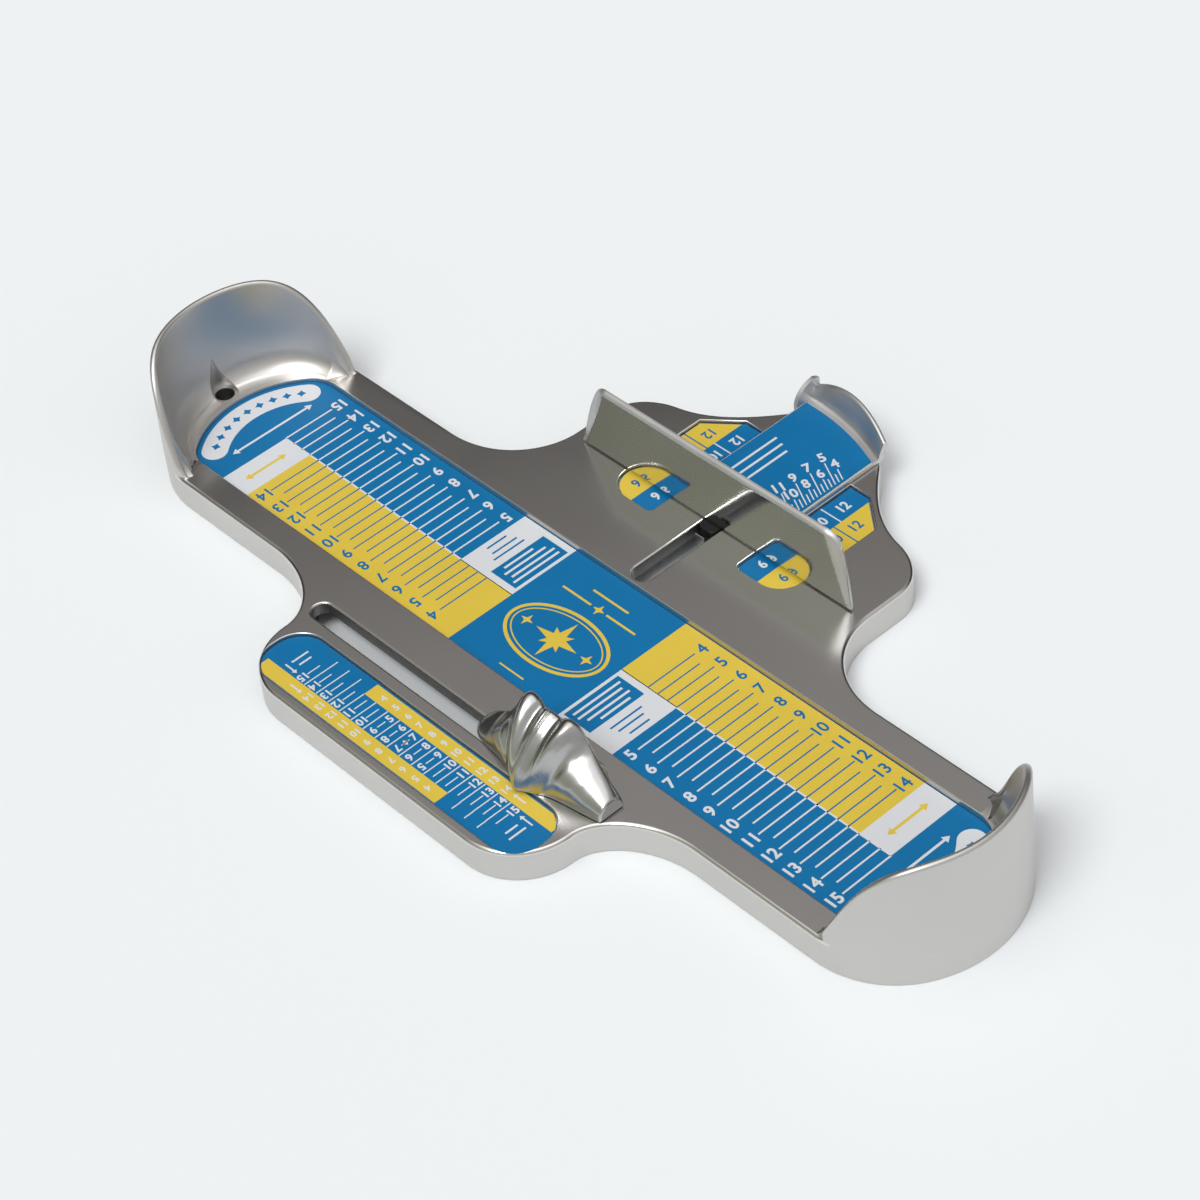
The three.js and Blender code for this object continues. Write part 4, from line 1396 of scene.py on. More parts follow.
@dataclass
class SliderGuide:
    """What holds a slider in its slot, drawn along +X round the guide's middle.

    Attributes:
        name: Start of the names of its CAD nodes.
        body: The body that it moves with.
        middle: Its middle.
        slot_width: Width of its slot.
        quarter_turn: True where its slot runs along Y.
        cap_bottom: Height at which the block closes over the boss in front, or its top.
    """

    name: str
    body: str
    middle: Point
    slot_width: float
    quarter_turn: bool = False
    cap_bottom: float = 12.0
    clearance: float = 0.3
    length: float = 28.0
    corner: float = 2.0
    block_bottom: float = 6.0
    block_top: float = 11.55
    boss_radius: float = 2.6
    boss_clearance: float = 0.2
    boss_spacing: float = 18.0
    hole_radius: float = 1.65
    hole_top: float = 10.0
    spring_wall: float = 0.4
    spring_width: float = 15.0
    spring_rise: float = 0.78
    tongue_half_width: float = 2.0
    tongue_reach: float = 2.4
    tongue_top: float = 10.3
    plate: Triple = (26.4, 18.0, 1.8)
    washer: Point = (3.2, 0.5)
    head: Point = (2.7, 1.5)
    head_round: float = 0.7
    drive: Triple = (1.6, 0.3, 0.8)
    shank_radius: float = 1.5
    shank_top: float = 9.6
    edge: float = 0.25
    above: float = 20.0
    washer_edge: float = 0.12
    head_edge: float = 0.05
    shank_ease: float = 0.3
    tongue_bend: float = 1.0

    @property
    def plate_top(self) -> float:
        """Height of the retaining plate's top."""
        return self.block_bottom - self.spring_wall

    @property
    def plate_bottom(self) -> float:
        """Height of the retaining plate's underside."""
        return self.plate_top - self.plate[2]

    def lay(self, points: Rows) -> Rows:
        """Turns points drawn round the guide's middle into device points.

        Args:
            points: Rows of two or three numbers, as drawn along +X.

        Returns:
            The same points on the device.
        """
        laid = np.array(points, float)
        if self.quarter_turn:
            laid[:, [0, 1]] = np.column_stack([-laid[:, 1], laid[:, 0]])
        laid[:, :2] += self.middle
        return laid

    def boss_places(self) -> list[Point]:
        """Returns the middles of its two bosses, as drawn."""
        return [(-self.boss_spacing / 2, 0.0), (self.boss_spacing / 2, 0.0)]

    def disc(self, place: Point, radius: float, levels: Sequence[Level]) -> Solid:
        """Makes a round body at a place of the guide."""
        return stack("disc", self.lay(tidy_outline(arc(place, radius, 0, 360, 40))), levels)

    def boss(self, place: Point, top: float) -> Solid:
        """Makes one boss of the slider's casting, with its screw hole.

        Args:
            place: Its middle.
            top: Its upper end.

        Returns:
            The boss.
        """
        boss = self.disc(place, self.boss_radius, [(0, self.block_bottom), (0, top)])
        return combine(boss, Join.CUT, self.disc(place, self.hole_radius,
                                                 [(0, 0), (0, self.hole_top)]))

    def drilled(self, obj: Solid, *places: Point) -> Solid:
        """Cuts screw holes through a body, at both bosses where no places are given.

        Args:
            obj: The body.
            *places: The holes' middles.

        Returns:
            The body.
        """
        return combine(obj, Join.CUT, *(self.disc(place, self.hole_radius,
                                                  [(0, 0), (0, self.above)])
                                        for place in places or self.boss_places()))

    def slab(self, name: str, size: Point, bottom: float, top: float) -> Solid:
        """Makes a rounded slab round the guide's middle.

        Args:
            name: Its name.
            size: Its length and width.
            bottom: Its lower face.
            top: Its upper face.

        Returns:
            The slab.
        """
        length, width = size[0] / 2, size[1] / 2
        outline = self.lay(rounded_rectangle((-length, length), (-width, width),
                                             [self.corner] * 4))
        return stack(name, outline, [(self.edge, bottom), (0, bottom + self.edge),
                                     (0, top - self.edge), (self.edge, top)])

    def block(self) -> Solid:
        """Makes the moulded guide block.

        Returns:
            The block.
        """
        width = self.slot_width - 2 * self.clearance
        block = self.slab(f"{self.name}_guide_block_fine", (self.length, width),
                          self.block_bottom, self.block_top)
        radius = self.boss_radius + self.boss_clearance
        front, rear = self.boss_places()
        return combine(block, Join.CUT, self.disc(front, radius, [(0, 0), (0, self.cap_bottom)]),
                       self.disc(rear, radius, [(0, 0), (0, self.above)]))

    def spring(self) -> Solid:
        """Makes the friction spring, with its sides bent up and a tongue in the slot.

        Returns:
            The spring.
        """
        flat, edge = self.slot_width / 2, self.spring_width / 2
        across = np.linspace(-edge, edge, 41)
        lift = [self.plate_top
                + self.spring_rise * max((abs(y) - flat) / (edge - flat), 0.0) ** 1.4
                for y in across]
        profile = list(zip(across, lift))
        profile += [(y, z + self.spring_wall) for y, z in reversed(profile)]
        leaf = loft(f"{self.name}_friction_spring_fine", [
            self.lay(np.array([(x, y, z) for y, z in profile]))
            for x in (-self.length / 2, self.length / 2)])
        end, bend = -self.length / 2 - self.tongue_reach, self.tongue_bend
        low, wall = self.plate_top, self.spring_wall
        side: list[Point] = [(end + 2 * self.tongue_reach, low + wall),
                             (end + 2 * self.tongue_reach, low)]
        side += arc((end + bend, low + bend), bend, 270, 180, 10)
        side += arc((end + wall / 2, self.tongue_top - wall / 2), wall / 2, 180, 0, 6)
        side += arc((end + bend, low + bend), bend - wall, 180, 270, 10)
        tongue = loft("tongue", [self.lay(np.array([(x, y, z) for x, z in side]))
                                 for y in (-self.tongue_half_width, self.tongue_half_width)])
        return self.drilled(combine(leaf, Join.UNION, tongue))

    def retainer(self) -> Solid:
        """Makes the retaining plate under the base."""
        return self.drilled(self.slab(f"{self.name}_retaining_plate_fine", self.plate[:2],
                                      self.plate_bottom, self.plate_top))

    def screw(self, place: Point) -> Solid:
        """Makes a screw with a domed head and a cross drive.

        Args:
            place: Middle of its boss.

        Returns:
            The screw.
        """
        radius, height = self.head
        head_top = self.plate_bottom - self.washer[1]
        head_bottom = head_top - height
        inward = radius - self.shank_radius
        levels = [(self.head_round * (1 - sin(a)), head_bottom
                   + self.head_round * (1 - cos(a))) for a in np.linspace(0, pi / 2, 6)]
        edge, ease = self.head_edge, self.shank_ease
        levels += [(0, head_top - edge), (edge, head_top), (inward, head_top + 0.001),
                   (inward, self.shank_top - ease), (inward + ease, self.shank_top)]
        screw = self.disc(place, radius, levels)
        half, width, depth = self.drive
        for sizes in ((half, width), (width, half)):
            plan = rectangle(*((middle - size, middle + size)
                               for middle, size in zip(place, sizes)))
            combine(screw, Join.CUT, stack("drive", self.lay(np.array(plan)),
                                           [(0, head_bottom - 1), (0, head_bottom + depth)]))
        return screw

    def washer_ring(self, place: Point) -> Solid:
        """Makes a flat washer with eased edges.

        Args:
            place: Its middle.

        Returns:
            The washer.
        """
        bottom = self.plate_bottom - self.washer[1]
        ring = self.disc(place, self.washer[0], [(self.washer_edge, bottom),
                                                 (0, bottom + self.washer_edge),
                                                 (0, self.plate_bottom - 0.02),
                                                 (0.02, self.plate_bottom)])
        return self.drilled(ring, place)

    def pair(self, name: str, part: Solid, rows: RowTree, material: Material,
             nodes: str) -> None:
        """Lays a fastener at both bosses and dresses the two as one piece.

        Args:
            name: The piece's name.
            part: The fastener at the first boss, which is used up.
            rows: The tree that lays it.
            material: Its finish.
            nodes: Start of the names of its two CAD nodes.
        """
        spacing = self.boss_spacing * MILLIMETRE
        step = (0.0, spacing, 0.0) if self.quarter_turn else (spacing, 0.0, 0.0)
        pair = rows.lay(name, Part=part, Count=2, Start=(0.0, 0.0, 0.0), Step=step,
                        Size=(1.0, 1.0, 1.0), Material=material)
        bpy.data.objects.remove(part)
        dress(smooth(pair), self.body, Slot.ZINC, f"{nodes}_a", f"{nodes}_b")

    def build(self, finishes: Finishes, rows: RowTree) -> None:
        """Makes every piece of the guide and dresses it.

        Args:
            finishes: The materials.
            rows: The tree that lays the fasteners.
        """
        name, zinc = self.name, finishes.zinc
        for make, slot, material, kind in (
            (self.block, Slot.NYLON, finishes.nylon, "guide_block"),
            (self.spring, Slot.SPRING, finishes.spring, "friction_spring"),
            (self.retainer, Slot.ZINC, zinc, "retaining_plate"),
        ):
            piece = smooth(make())
            coat(piece, material)
            dress(piece, self.body, slot, f"{name}_{kind}")
        first = self.boss_places()[0]
        self.pair(f"{name}_washers", self.washer_ring(first), rows, zinc, f"{name}_washer")
        self.pair(f"{name}_screws", self.screw(first), rows, zinc, f"{name}_screw")


@dataclass
class WidthBar:
    """The width bar casting: fence, slide, grip and the fin that closes the grip's end."""

    base_height: float = 11.4
    slide_gap: float = 0.2
    half_width: float = 19.0
    slide_thickness: float = 1.3
    sheet_inset: float = 0.7
    sheet_to_fence: float = 0.6
    sheet_to_grip: float = 3.2
    face_y: float = 63.7
    fence_gap: float = 0.8
    fence_wall: float = 1.9
    fence_edge: float = 0.9
    fence_height: float = 25.4
    lean: float = 0.8
    half_length: float = 60.8
    top_half_length: float = 55.4
    top_corner: float = 6.5
    flare_length: Point = (2.2, 6.8)
    flare_back: float = 1.5
    rolled: float = 1.7
    face_limit: float = 0.985
    slide_length: float = 62.4
    grip_slant: float = -0.2
    grip_bow: float = -0.0061
    grip_foot: float = 1.6
    grip_foot_rise: float = 1.2
    grip_wall: float = 1.9
    grip_lean: float = 1.8
    grip_height: float = 10.2
    grip_end_drop: float = 5.0
    grip_dip: float = 1.1
    horn_height: float = 7.6
    horn_length: float = 9.0
    horn_wall: float = 1.5
    horn_to_sheet: float = 0.3
    top_edge: Point = (0.09, 0.3)
    grip_round: float = 0.9
    grip_heel: Point = (0.25, 0.8)
    cover: Point = (4.0, 0.4)
    fence_thin: float = 0.2

    @property
    def slide_bottom(self) -> float:
        """Height of the slide's underside."""
        return self.base_height + self.slide_gap

    @property
    def slide_top(self) -> float:
        """Height of the slide's top."""
        return self.slide_bottom + self.slide_thickness

    def fence(self) -> Solid:
        """Makes the upright fence, with its ends turned back and its top edge rolled.

        Returns:
            The fence.
        """
        bottom = self.base_height + self.fence_gap
        rolled = self.rolled / self.fence_height
        rises = [*np.linspace(0, 1 - rolled, 20),
                 *(1 - rolled * (1 - sin(a)) for a in np.linspace(0, pi / 2, 9)[1:])]

        def point(share: float, rise: float, side: int) -> Triple:
            """Returns a place on the face (side -1) or the back (side 1).

            Args:
                share: Where it lies along the fence, from -1 to 1.
                rise: Where it lies up the fence, from 0 to 1.
                side: Which face.

            Returns:
                The place.
            """
            half = mix(self.half_length, self.top_half_length, rise)
            to_end = (1 - abs(share)) * half
            corner = max(1 - to_end / self.top_corner, 0.0)
            drop = self.top_corner * (1 - sqrt(1 - corner**2)) * rise**3
            flare = smooth_step(0.0, 1.0, 1 - to_end / mix(*self.flare_length, rise))
            wall = mix(self.fence_wall, self.fence_edge, flare)
            face = self.face_y + self.lean * rise + self.flare_back * flare * rise**0.5
            over = max(1 - (1 - rise) / rolled, 0.0)
            back = face + wall
            front = mix(back - self.fence_thin, face, sqrt(1 - over**2))
            return (share * half, back if side > 0 else front,
                    bottom + rise * self.fence_height - drop)

        rings = []
        for share in np.sin(np.linspace(-0.5, 0.5, 181) * pi):
            face = [point(share, rise, -1) for rise in rises]
            back = [point(share, rise, 1) for rise in reversed(rises)]
            rings.append(np.array(face + back))
        return loft("fence", rings)

    def grip_y(self, x: float) -> float:
        """The grip's foot line behind the slide, at a place across it."""
        return self.face_y + self.slide_length + self.grip_slant * x + self.grip_bow * x * x

    def grip_edge(self, half: float, offset: float) -> list[Point]:
        """Points along the grip's end of the slide, from +X to -X."""
        return [(x, self.grip_y(x) - offset) for x in np.linspace(half, -half, 49)]

    def slide_outline(self, half: float, start: float, offset: float) -> Rows:
        """Outlines the slide or its sheet, from a line across it to the grip."""
        return tidy_outline([(-half, start), (half, start), *self.grip_edge(half, offset)])

    def grip(self) -> Solid:
        """Makes the upturned grip.

        Returns:
            The grip.
        """
        low, foot = self.slide_bottom, self.slide_top + self.grip_foot_rise
        near, far = self.grip_heel
        rings = []
        for x, y in self.grip_edge(self.half_width, 0):
            place = x / self.half_width
            edge_z = (self.slide_top + self.grip_height - self.grip_end_drop * place**2
                      - self.grip_dip * (0.5 - 0.5 * place) ** 2)
            edge, back = y + self.grip_lean, y + self.grip_wall
            under = edge_z - self.grip_round
            section: list[Point] = [(y - self.grip_foot, low)]
            section += [(y - self.grip_foot + self.grip_foot * sin(a),
                         self.slide_top + self.grip_foot_rise * (1 - cos(a)))
                        for a in np.linspace(0, pi / 2, 7)]
            section += [(y + self.grip_lean * share**1.3, foot + (under - foot) * share)
                        for share in np.linspace(0, 1, 9)[1:-1]]
            section += round_over(edge, edge + self.grip_wall, edge_z, self.grip_round)
            section += [(back + self.grip_lean * share**1.3, mix(low + far, under, share))
                        for share in np.linspace(1, 0, 9)[1:]]
            section += [(back - near, low + near), (back - far, low)]
            rings.append(np.array([(x, py, pz) for py, pz in section]))
        return loft("grip", rings)

    def horn(self) -> Solid:
        """Makes the fin that closes the far end of the grip.

        Returns:
            The fin.
        """
        inner = -(self.half_width - self.sheet_inset + self.horn_to_sheet)
        back = self.grip_y(inner) + self.grip_lean + self.grip_wall
        front = back - self.grip_wall
        outline = [(back, self.slide_bottom), (back, self.slide_top + self.horn_height - 1.0)]
        outline += [(front - self.horn_length * sin(angle),
                     self.slide_top + self.horn_height * cos(angle))
                    for angle in np.linspace(0, pi / 2, 25)]
        outline.append((front - self.horn_length, self.slide_bottom))
        return loft("horn", [np.array([(x, y, z) for y, z in outline])
                             for x in (inner - self.horn_wall, inner)])

    def build(self, finishes: Finishes, guide: SliderGuide) -> None:
        """Makes the casting, with the bosses of its guide, and dresses it.

        Args:
            finishes: The materials.
            guide: What holds it in its slot.
        """
        low, top = self.slide_bottom, self.slide_top
        near, far = self.top_edge
        plan = self.slide_outline(self.half_width, self.face_y + self.lean, 0)
        body = stack("width_bar_fine", plan, [(0.0, low), (0.0, top - far), (near, top - near),
                                              (far, top)])
        bosses = [guide.boss(place, low + 0.5) for place in guide.boss_places()]
        reach, past = self.cover
        cover = rounded_rectangle((-reach, reach), (self.face_y - reach, self.face_y + past),
                                  [0.1] * 4, 2)
        combine(bosses[0], Join.CUT,
                stack("cover", cover, [(0, guide.cap_bottom - 0.1), (0, low + 2)]))
        combine(body, Join.UNION, self.fence(), self.grip(), self.horn(), *bosses)
        smooth(body, 34)
        coat(body, finishes.polished, finishes.brushed)
        behind = (self.face_y + self.lean + self.fence_wall + PLACE.middle_y) * MILLIMETRE
        for face in body.data.polygons:
            flat = face.center.y < behind and face.normal.y < -self.face_limit
            face.material_index = int(not flat)
        dress(body, "width_bar", Slot.POLISHED, "width_bar_casting")


LOBE_TOP = ((0, 20.9), (1.8, 20.4), (3.8, 19.7), (6.0, 21.2), (8.2, 21.9), (10.4, 21.2))
LOBE_FRONT = ((0, 11), (2, 10), (4.6, 8.7), (8.8, 6.5), (14.9, 5.1), (21, 4.2))


@dataclass(frozen=True)
class PointerHalf:
    """One half of the arch pointer, as curves over the distance from its middle.

    Attributes:
        reach: Its length.
        top: Height of its crest.
        front: Distance of its edge towards the scale.
        crest: Distance of its crest towards the foot.
        back: Distance of its lower edge towards the foot.
    """

    reach: float
    top: Sequence[Point]
    front: Sequence[Point]
    crest: Sequence[Point]
    back: Sequence[Point]


@dataclass
class ArchPointer:
    """The arch pointer casting: a beak with two round lobes, three fine ridges and low wings."""

    middle: Point = (40.4, -46.6)
    foot: float = 11.7
    lip: float = 0.8
    near: PointerHalf = PointerHalf(
        28.9, (*LOBE_TOP, (12.6, 18.7), (15, 15.3), (18, 12.5), (21.2, 10.2), (24.9, 7.9),
               (28.9, 5.4)),
        (*LOBE_FRONT, (28.9, 2.9)),
        ((0, 6.2), (8.5, 7.4), (15, 7.3), (21, 6.2), (25, 4.6), (28.9, 2.0)),
        ((0, 13.6), (10, 13.6), (14.2, 13.1), (19, 10.1), (23.6, 8.6), (28.9, 6.4)))
    far: PointerHalf = PointerHalf(
        27.6, (*LOBE_TOP, (12.6, 18.3), (15.5, 13.2), (18.6, 8.2), (21, 5.9), (24, 4.8),
               (26, 3.7), (27.6, 2.2)),
        (*LOBE_FRONT, (25, 3.2), (27.6, 1)),
        ((0, 6.2), (8.5, 7.6), (15, 7.6), (21, 6.2), (25, 4), (27.6, 1.8)),
        ((0, 13.6), (10, 13.6), (14.2, 12.9), (19, 10.2), (23.6, 8.2), (27.6, 4.4)))
    fullness: Sequence[Point] = (
        (0, 1.42), (3.8, 1.45), (8.6, 1.9), (11.5, 1.6), (14.5, 1.3), (19, 1.7), (24, 2.0))
    lobe_spread: Point = (1.15, 0.5)
    pocket: Sequence[Point] = (
        (1.0, 0.0), (0.92, 0.2), (0.75, 0.1), (0.5, 0.12), (0.3, 0.28), (0.14, 0.55), (0.0, 1.0))
    pocket_reach: float = 20.0
    pocket_fade: float = 4.0
    crest_passes: int = 14
    crest_window: int = 7
    ridge_spacing: Point = (0.85, 0.3)
    ridge_height: float = 0.22
    ridge_window: Point = (1.3, 1.8)
    ridge_start: float = 0.12
    end_round: float = 0.6
    fine_reach: float = 4.0
    flank_steps: int = 45

    def ripple(self, along: float, share: float) -> float:
        """Height of the three fine ridges, which draw together towards the tip.

        Args:
            along: Distance from the pointer's middle.
            share: Share of the way from the crest to the front edge.

        Returns:
            The height.
        """
        spacing = mix(*self.ridge_spacing, share**0.8)
        first, last = self.ridge_window
        window = 1 - smooth_step(first * spacing, last * spacing, abs(along))
        wave = 0.5 + 0.5 * cos(2 * pi * along / spacing)
        rise = smooth_step(0.0, self.ridge_start, share)
        return self.ridge_height * wave * window * rise * (1 - share)**0.6

    def flank(self, along: float, crest: Point, front: float, end: float) -> list[Point]:
        """Draws the side towards the scale, with its lobes and ridges.

        Args:
            along: Distance from the pointer's middle.
            crest: Where the crest lies.
            front: Where the front edge lies.
            end: Share of the way to the plain end.

        Returns:
            Points from below the crest to the front edge.
        """
        points = []
        shares = np.linspace(0, 1, self.flank_steps)
        for share in shares:
            spread = mix(*self.lobe_spread, share)
            power = mix(along_curve(self.fullness, abs(along) / spread), 2.0, end)
            angle = (1 - share) * pi / 2
            points.append((mix(crest[0], front, cos(angle) ** (2 / power)),
                           mix(self.lip, crest[1], sin(angle) ** (2 / power))))
        rows = np.array(points)
        tangent = np.gradient(rows, axis=0)
        tangent /= np.linalg.norm(tangent, axis=1)[:, None]
        lift = np.array([self.ripple(along, share) for share in shares])
        rows += np.column_stack([tangent[:, 1], -tangent[:, 0]]) * lift[:, None]
        return [tuple(row) for row in rows[1:]]

    def section(self, along: float) -> Rows:
        """Draws a section across the pointer.

        Args:
            along: Distance from the pointer's middle.

        Returns:
            Rows of distance towards the foot and height.
        """
        half, u = self.near if along >= 0 else self.far, abs(along)
        top, front, crest, back = (along_curve(curve, u)
                                   for curve in (half.top, half.front, half.crest, half.back))
        end = smooth_step(self.pocket_reach - self.pocket_fade, half.reach, u)
        run = [(1 - rise, out) for rise, out in self.pocket]
        foot_side = []
        for share in np.linspace(1, 0, 37)[:-1]:
            angle = share * pi / 2
            hollow = (mix(crest, back, along_curve(run, share)), mix(top, self.lip, share))
            bulge = (mix(crest, back, sin(angle)), mix(self.lip, top, cos(angle)))
            foot_side.append((mix(hollow[0], bulge[0], end), mix(hollow[1], bulge[1], end)))
        profile = np.array([(back, 0.0), *foot_side, (crest, top),
                            *self.flank(along, (crest, top), -front, end), (-front, 0.0)])
        middle = len(foot_side) + 1
        for _ in range(self.crest_passes):
            mean = (np.roll(profile, 1, axis=0) + np.roll(profile, -1, axis=0)) / 2
            for k in range(middle - self.crest_window, middle + self.crest_window + 1):
                weight = 1 - abs(k - middle) / (self.crest_window + 1)
                profile[k] = mix(profile[k], mean[k], weight)
        return profile

    def ring(self, along: float, shrink: float = 0.0) -> Rows:
        """Places a section on the device, drawn in by a distance.

        Args:
            along: Distance from the pointer's middle.
            shrink: The distance.

        Returns:
            Its points.
        """
        profile = inset(self.section(along), shrink) if shrink else self.section(along)
        return np.array([(self.middle[0] + along, self.middle[1] + y, self.foot + z)
                         for y, z in profile])

    def build(self, finishes: Finishes, guide: SliderGuide) -> None:
        """Makes the casting, with the bosses of its guide, and dresses it.

        Args:
            finishes: The materials.
            guide: What holds it in its slot.
        """
        far, near, bend = -self.far.reach, self.near.reach, self.end_round
        fine, apart = self.fine_reach, 0.1
        places = np.concatenate([np.linspace(far + bend, -fine - apart, 96),
                                 np.linspace(-fine, fine, 81),
                                 np.linspace(fine + apart, near - bend, 100)])
        corner = [(bend * sin(a), bend * (1 - cos(a)))
                  for a in np.linspace(0, pi / 2, 5)[1:]]
        rings = [self.ring(far + bend - reach, shrink) for reach, shrink in reversed(corner)]
        rings += [self.ring(along) for along in places]
        rings += [self.ring(near - bend + reach, shrink) for reach, shrink in corner]
        body = loft("arch_pointer_fine", rings)
        combine(body, Join.UNION, *(guide.boss(place, self.foot + 1)
                                    for place in guide.boss_places()))
        coat(smooth(body, 40), finishes.pointer)
        dress(body, "arch_pointer", Slot.POLISHED, "arch_pointer_casting")


@dataclass(frozen=True)
class Bars:
    """A row of like bars.

    Attributes:
        start: Middle of the first bar.
        size: Its sides.
        ink: Its ink.
        step: From one bar to the next.
        count: How many there are.
        turn: Each bar's own turn, in degrees.
    """

    start: Point
    size: Point
    ink: Ink
    step: Point = (0.0, 0.0)
    count: int = 1
    turn: float = 0.0


@dataclass(frozen=True)
class Number:
    """A printed number.

    Attributes:
        text: Its digits.
        place: Its middle.
        height: Height of its digits.
        ink: Its ink.
        turn: Direction of reading in degrees, 90 being along +Y.
    """

    text: str
    place: Point
    height: float
    ink: Ink
    turn: float = 90.0


@dataclass
class Numerals:
    """Solid numerals, shaped once for each number.

    Attributes:
        bold: How far the strokes of light ink are fattened, as a share of the type size.
        plain: The same for blue ink.
        squeeze: How narrow the digits are set.
        closed: The digit whose small opening would close in the usual fattening.
        diagonal: Share of the fattening by which its copies move.
        apart: Height between its copies.
    """

    bold: float = 0.03
    plain: float = 0.02
    squeeze: float = 0.92
    closed: str = "4"
    diagonal: float = 0.75
    apart: float = 0.02
    shapes: dict[tuple[str, float], Shape] = field(default_factory=dict)

    def fatten(self, shape: Shape, reach: float) -> Shape:
        """Fattens a digit by four copies of it, each moved diagonally by a reach.

        Args:
            shape: The digit.
            reach: How far each copy moves.

        Returns:
            The digit.
        """
        points, faces = shape
        moves = [(along * reach, up * reach, self.apart * step) for step, (along, up) in
                 enumerate(((1, 1), (1, -1), (-1, -1), (-1, 1)))]
        return (np.concatenate([points + np.array(move) for move in moves]),
                [tuple(corner + len(points) * copy for corner in face)
                 for copy in range(len(moves)) for face in faces])

    def shape(self, text: str, ink: Ink) -> Shape:
        """Shapes a number round its middle, one unit high and one thick.

        Args:
            text: The digits.
            ink: Its ink.

        Returns:
            Its points and faces.
        """
        weight = self.plain if ink is Ink.BLUE else self.bold
        key = (text, weight)
        if key not in self.shapes:
            curve = bpy.data.curves.new("numeral", "FONT")
            curve.body = text
            curve.extrude = 0.5
            curve.offset = 0.0 if self.closed in text else weight
            curve.resolution_u = 4
            obj = linked("numeral", curve)
            settled = obj.evaluated_get(bpy.context.evaluated_depsgraph_get())
            mesh = bpy.data.meshes.new_from_object(settled)
            points = np.array([vertex.co[:] for vertex in mesh.vertices])
            faces = [tuple(face.vertices) for face in mesh.polygons]
            if self.closed in text:
                points, faces = self.fatten((points, faces), weight * self.diagonal)
            low, high = points.min(axis=0), points.max(axis=0)
            points = (points - (low + high) / 2) / (high - low)[1]
            points *= (self.squeeze, 1.0, (high - low)[1])
            self.shapes[key] = points, faces
            bpy.data.objects.remove(obj)
            bpy.data.curves.remove(curve)
            bpy.data.meshes.remove(mesh)
        return self.shapes[key]


@dataclass
class Press:
    """Prints plates: a ground sheet with layers of ink, each a thin closed slab."""

    finishes: Finishes
    layer: float = 0.03
    root: float = 0.05
    layers: int = 3
    edge: float = 0.12
    rows: RowTree = field(default_factory=RowTree)
    numerals: Numerals = field(default_factory=Numerals)

    def start(self, node: str, outline: Rows) -> None:
        """Starts a plate.

        Args:
            node: The plate's CAD node.
            outline: Its plan.
        """
        low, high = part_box(node)
        self.node = node
        self.bottom = low.z / MILLIMETRE
        self.ground = high.z / MILLIMETRE - self.layers * self.layer
        levels = [(self.edge, self.bottom), (0.0, self.bottom + self.edge)]
        levels += edge_levels(self.edge, self.ground, steps=3)
        self.parts: list[Solid] = []
        self.take(stack(f"{node}_fine", outline, levels), Ink.BLUE)

    def take(self, slab: Solid, ink: Ink) -> None:
        """Adds a slab to the plate, in its ink."""
        coat(slab, self.finishes.inks[ink])
        self.parts.append(slab)

    def levels(self, level: int) -> list[Level]:
        """Levels of a slab, rooted in the ground, whose top is a layer's."""
        return [(0, self.ground - self.root), (0, self.ground + level * self.layer)]

    def middle(self, level: int) -> Point:
        """Middle and height of such a slab."""
        height = self.root + level * self.layer
        return self.ground + level * self.layer - height / 2, height

    def area(self, outline: Iterable[Point], ink: Ink, level: int = 1, way: Way = Way()) -> None:
        """Prints an area in a layer over the ground."""
        plan = tidy_outline([way.place(*point) for point in outline])
        self.take(stack("area", plan, self.levels(level)), ink)

    def ring(self, outer: Rows, wall: float, ink: Ink, level: int = 2) -> None:
        """Prints a line of a given width inside an outline."""
        hole = stack("hole", inset(outer, wall), [(0, self.ground - 1), (0, self.ground + 1)])
        self.take(combine(stack("ring", outer, self.levels(level)), Join.CUT, hole), ink)

    def bars(self, bars: Bars, way: Way = Way(), level: int = 2) -> None:
        """Prints a row of bars.

        Args:
            bars: The bars.
            way: How the print is laid.
            level: Their layer over the ground.
        """
        middle, height = self.middle(level)
        box = unit_box()
        start = PLACE.metres(np.array((*way.place(*bars.start), middle)))
        step = np.array(bars.step) * (-1 if way.half_turn else 1) * MILLIMETRE
        size = np.array((*bars.size, height)) * MILLIMETRE
        self.parts.append(self.rows.lay(
            "bars", Part=box, Count=bars.count, Start=start.tolist(), Step=(*step.tolist(), 0.0),
            Size=size.tolist(), Turn=radians(way.turn(bars.turn)),
            Material=self.finishes.inks[bars.ink]))
        bpy.data.objects.remove(box)

    def numbers(self, numbers: Sequence[Number], way: Way = Way(), level: int = 2) -> None:
        """Prints numbers of one ink.

        Args:
            numbers: The numbers.
            way: How the print is laid.
            level: Their layer over the ground.
        """
        middle, height = self.middle(level)
        points: list[Rows] = []
        faces: list[Corners] = []
        count = 0
        for number in numbers:
            shape, corners = self.numerals.shape(number.text, number.ink)
            angle = radians(way.turn(number.turn))
            turned = shape[:, :2] @ np.array([[cos(angle), sin(angle)],
                                              [-sin(angle), cos(angle)]])
            plan = turned * number.height + np.array(way.place(*number.place))
            points.append(np.column_stack([plan, shape[:, 2] * height + middle]))
            faces += [tuple(corner + count for corner in face) for face in corners]
            count += len(shape)
        self.take(mesh_object("numbers", np.concatenate(points), faces), numbers[0].ink)

    def finish(self, body: str) -> None:
        """Joins the layers to their plate and dresses it."""
        dress(smooth(joined(self.parts)), body, Slot.PRINT, self.node)


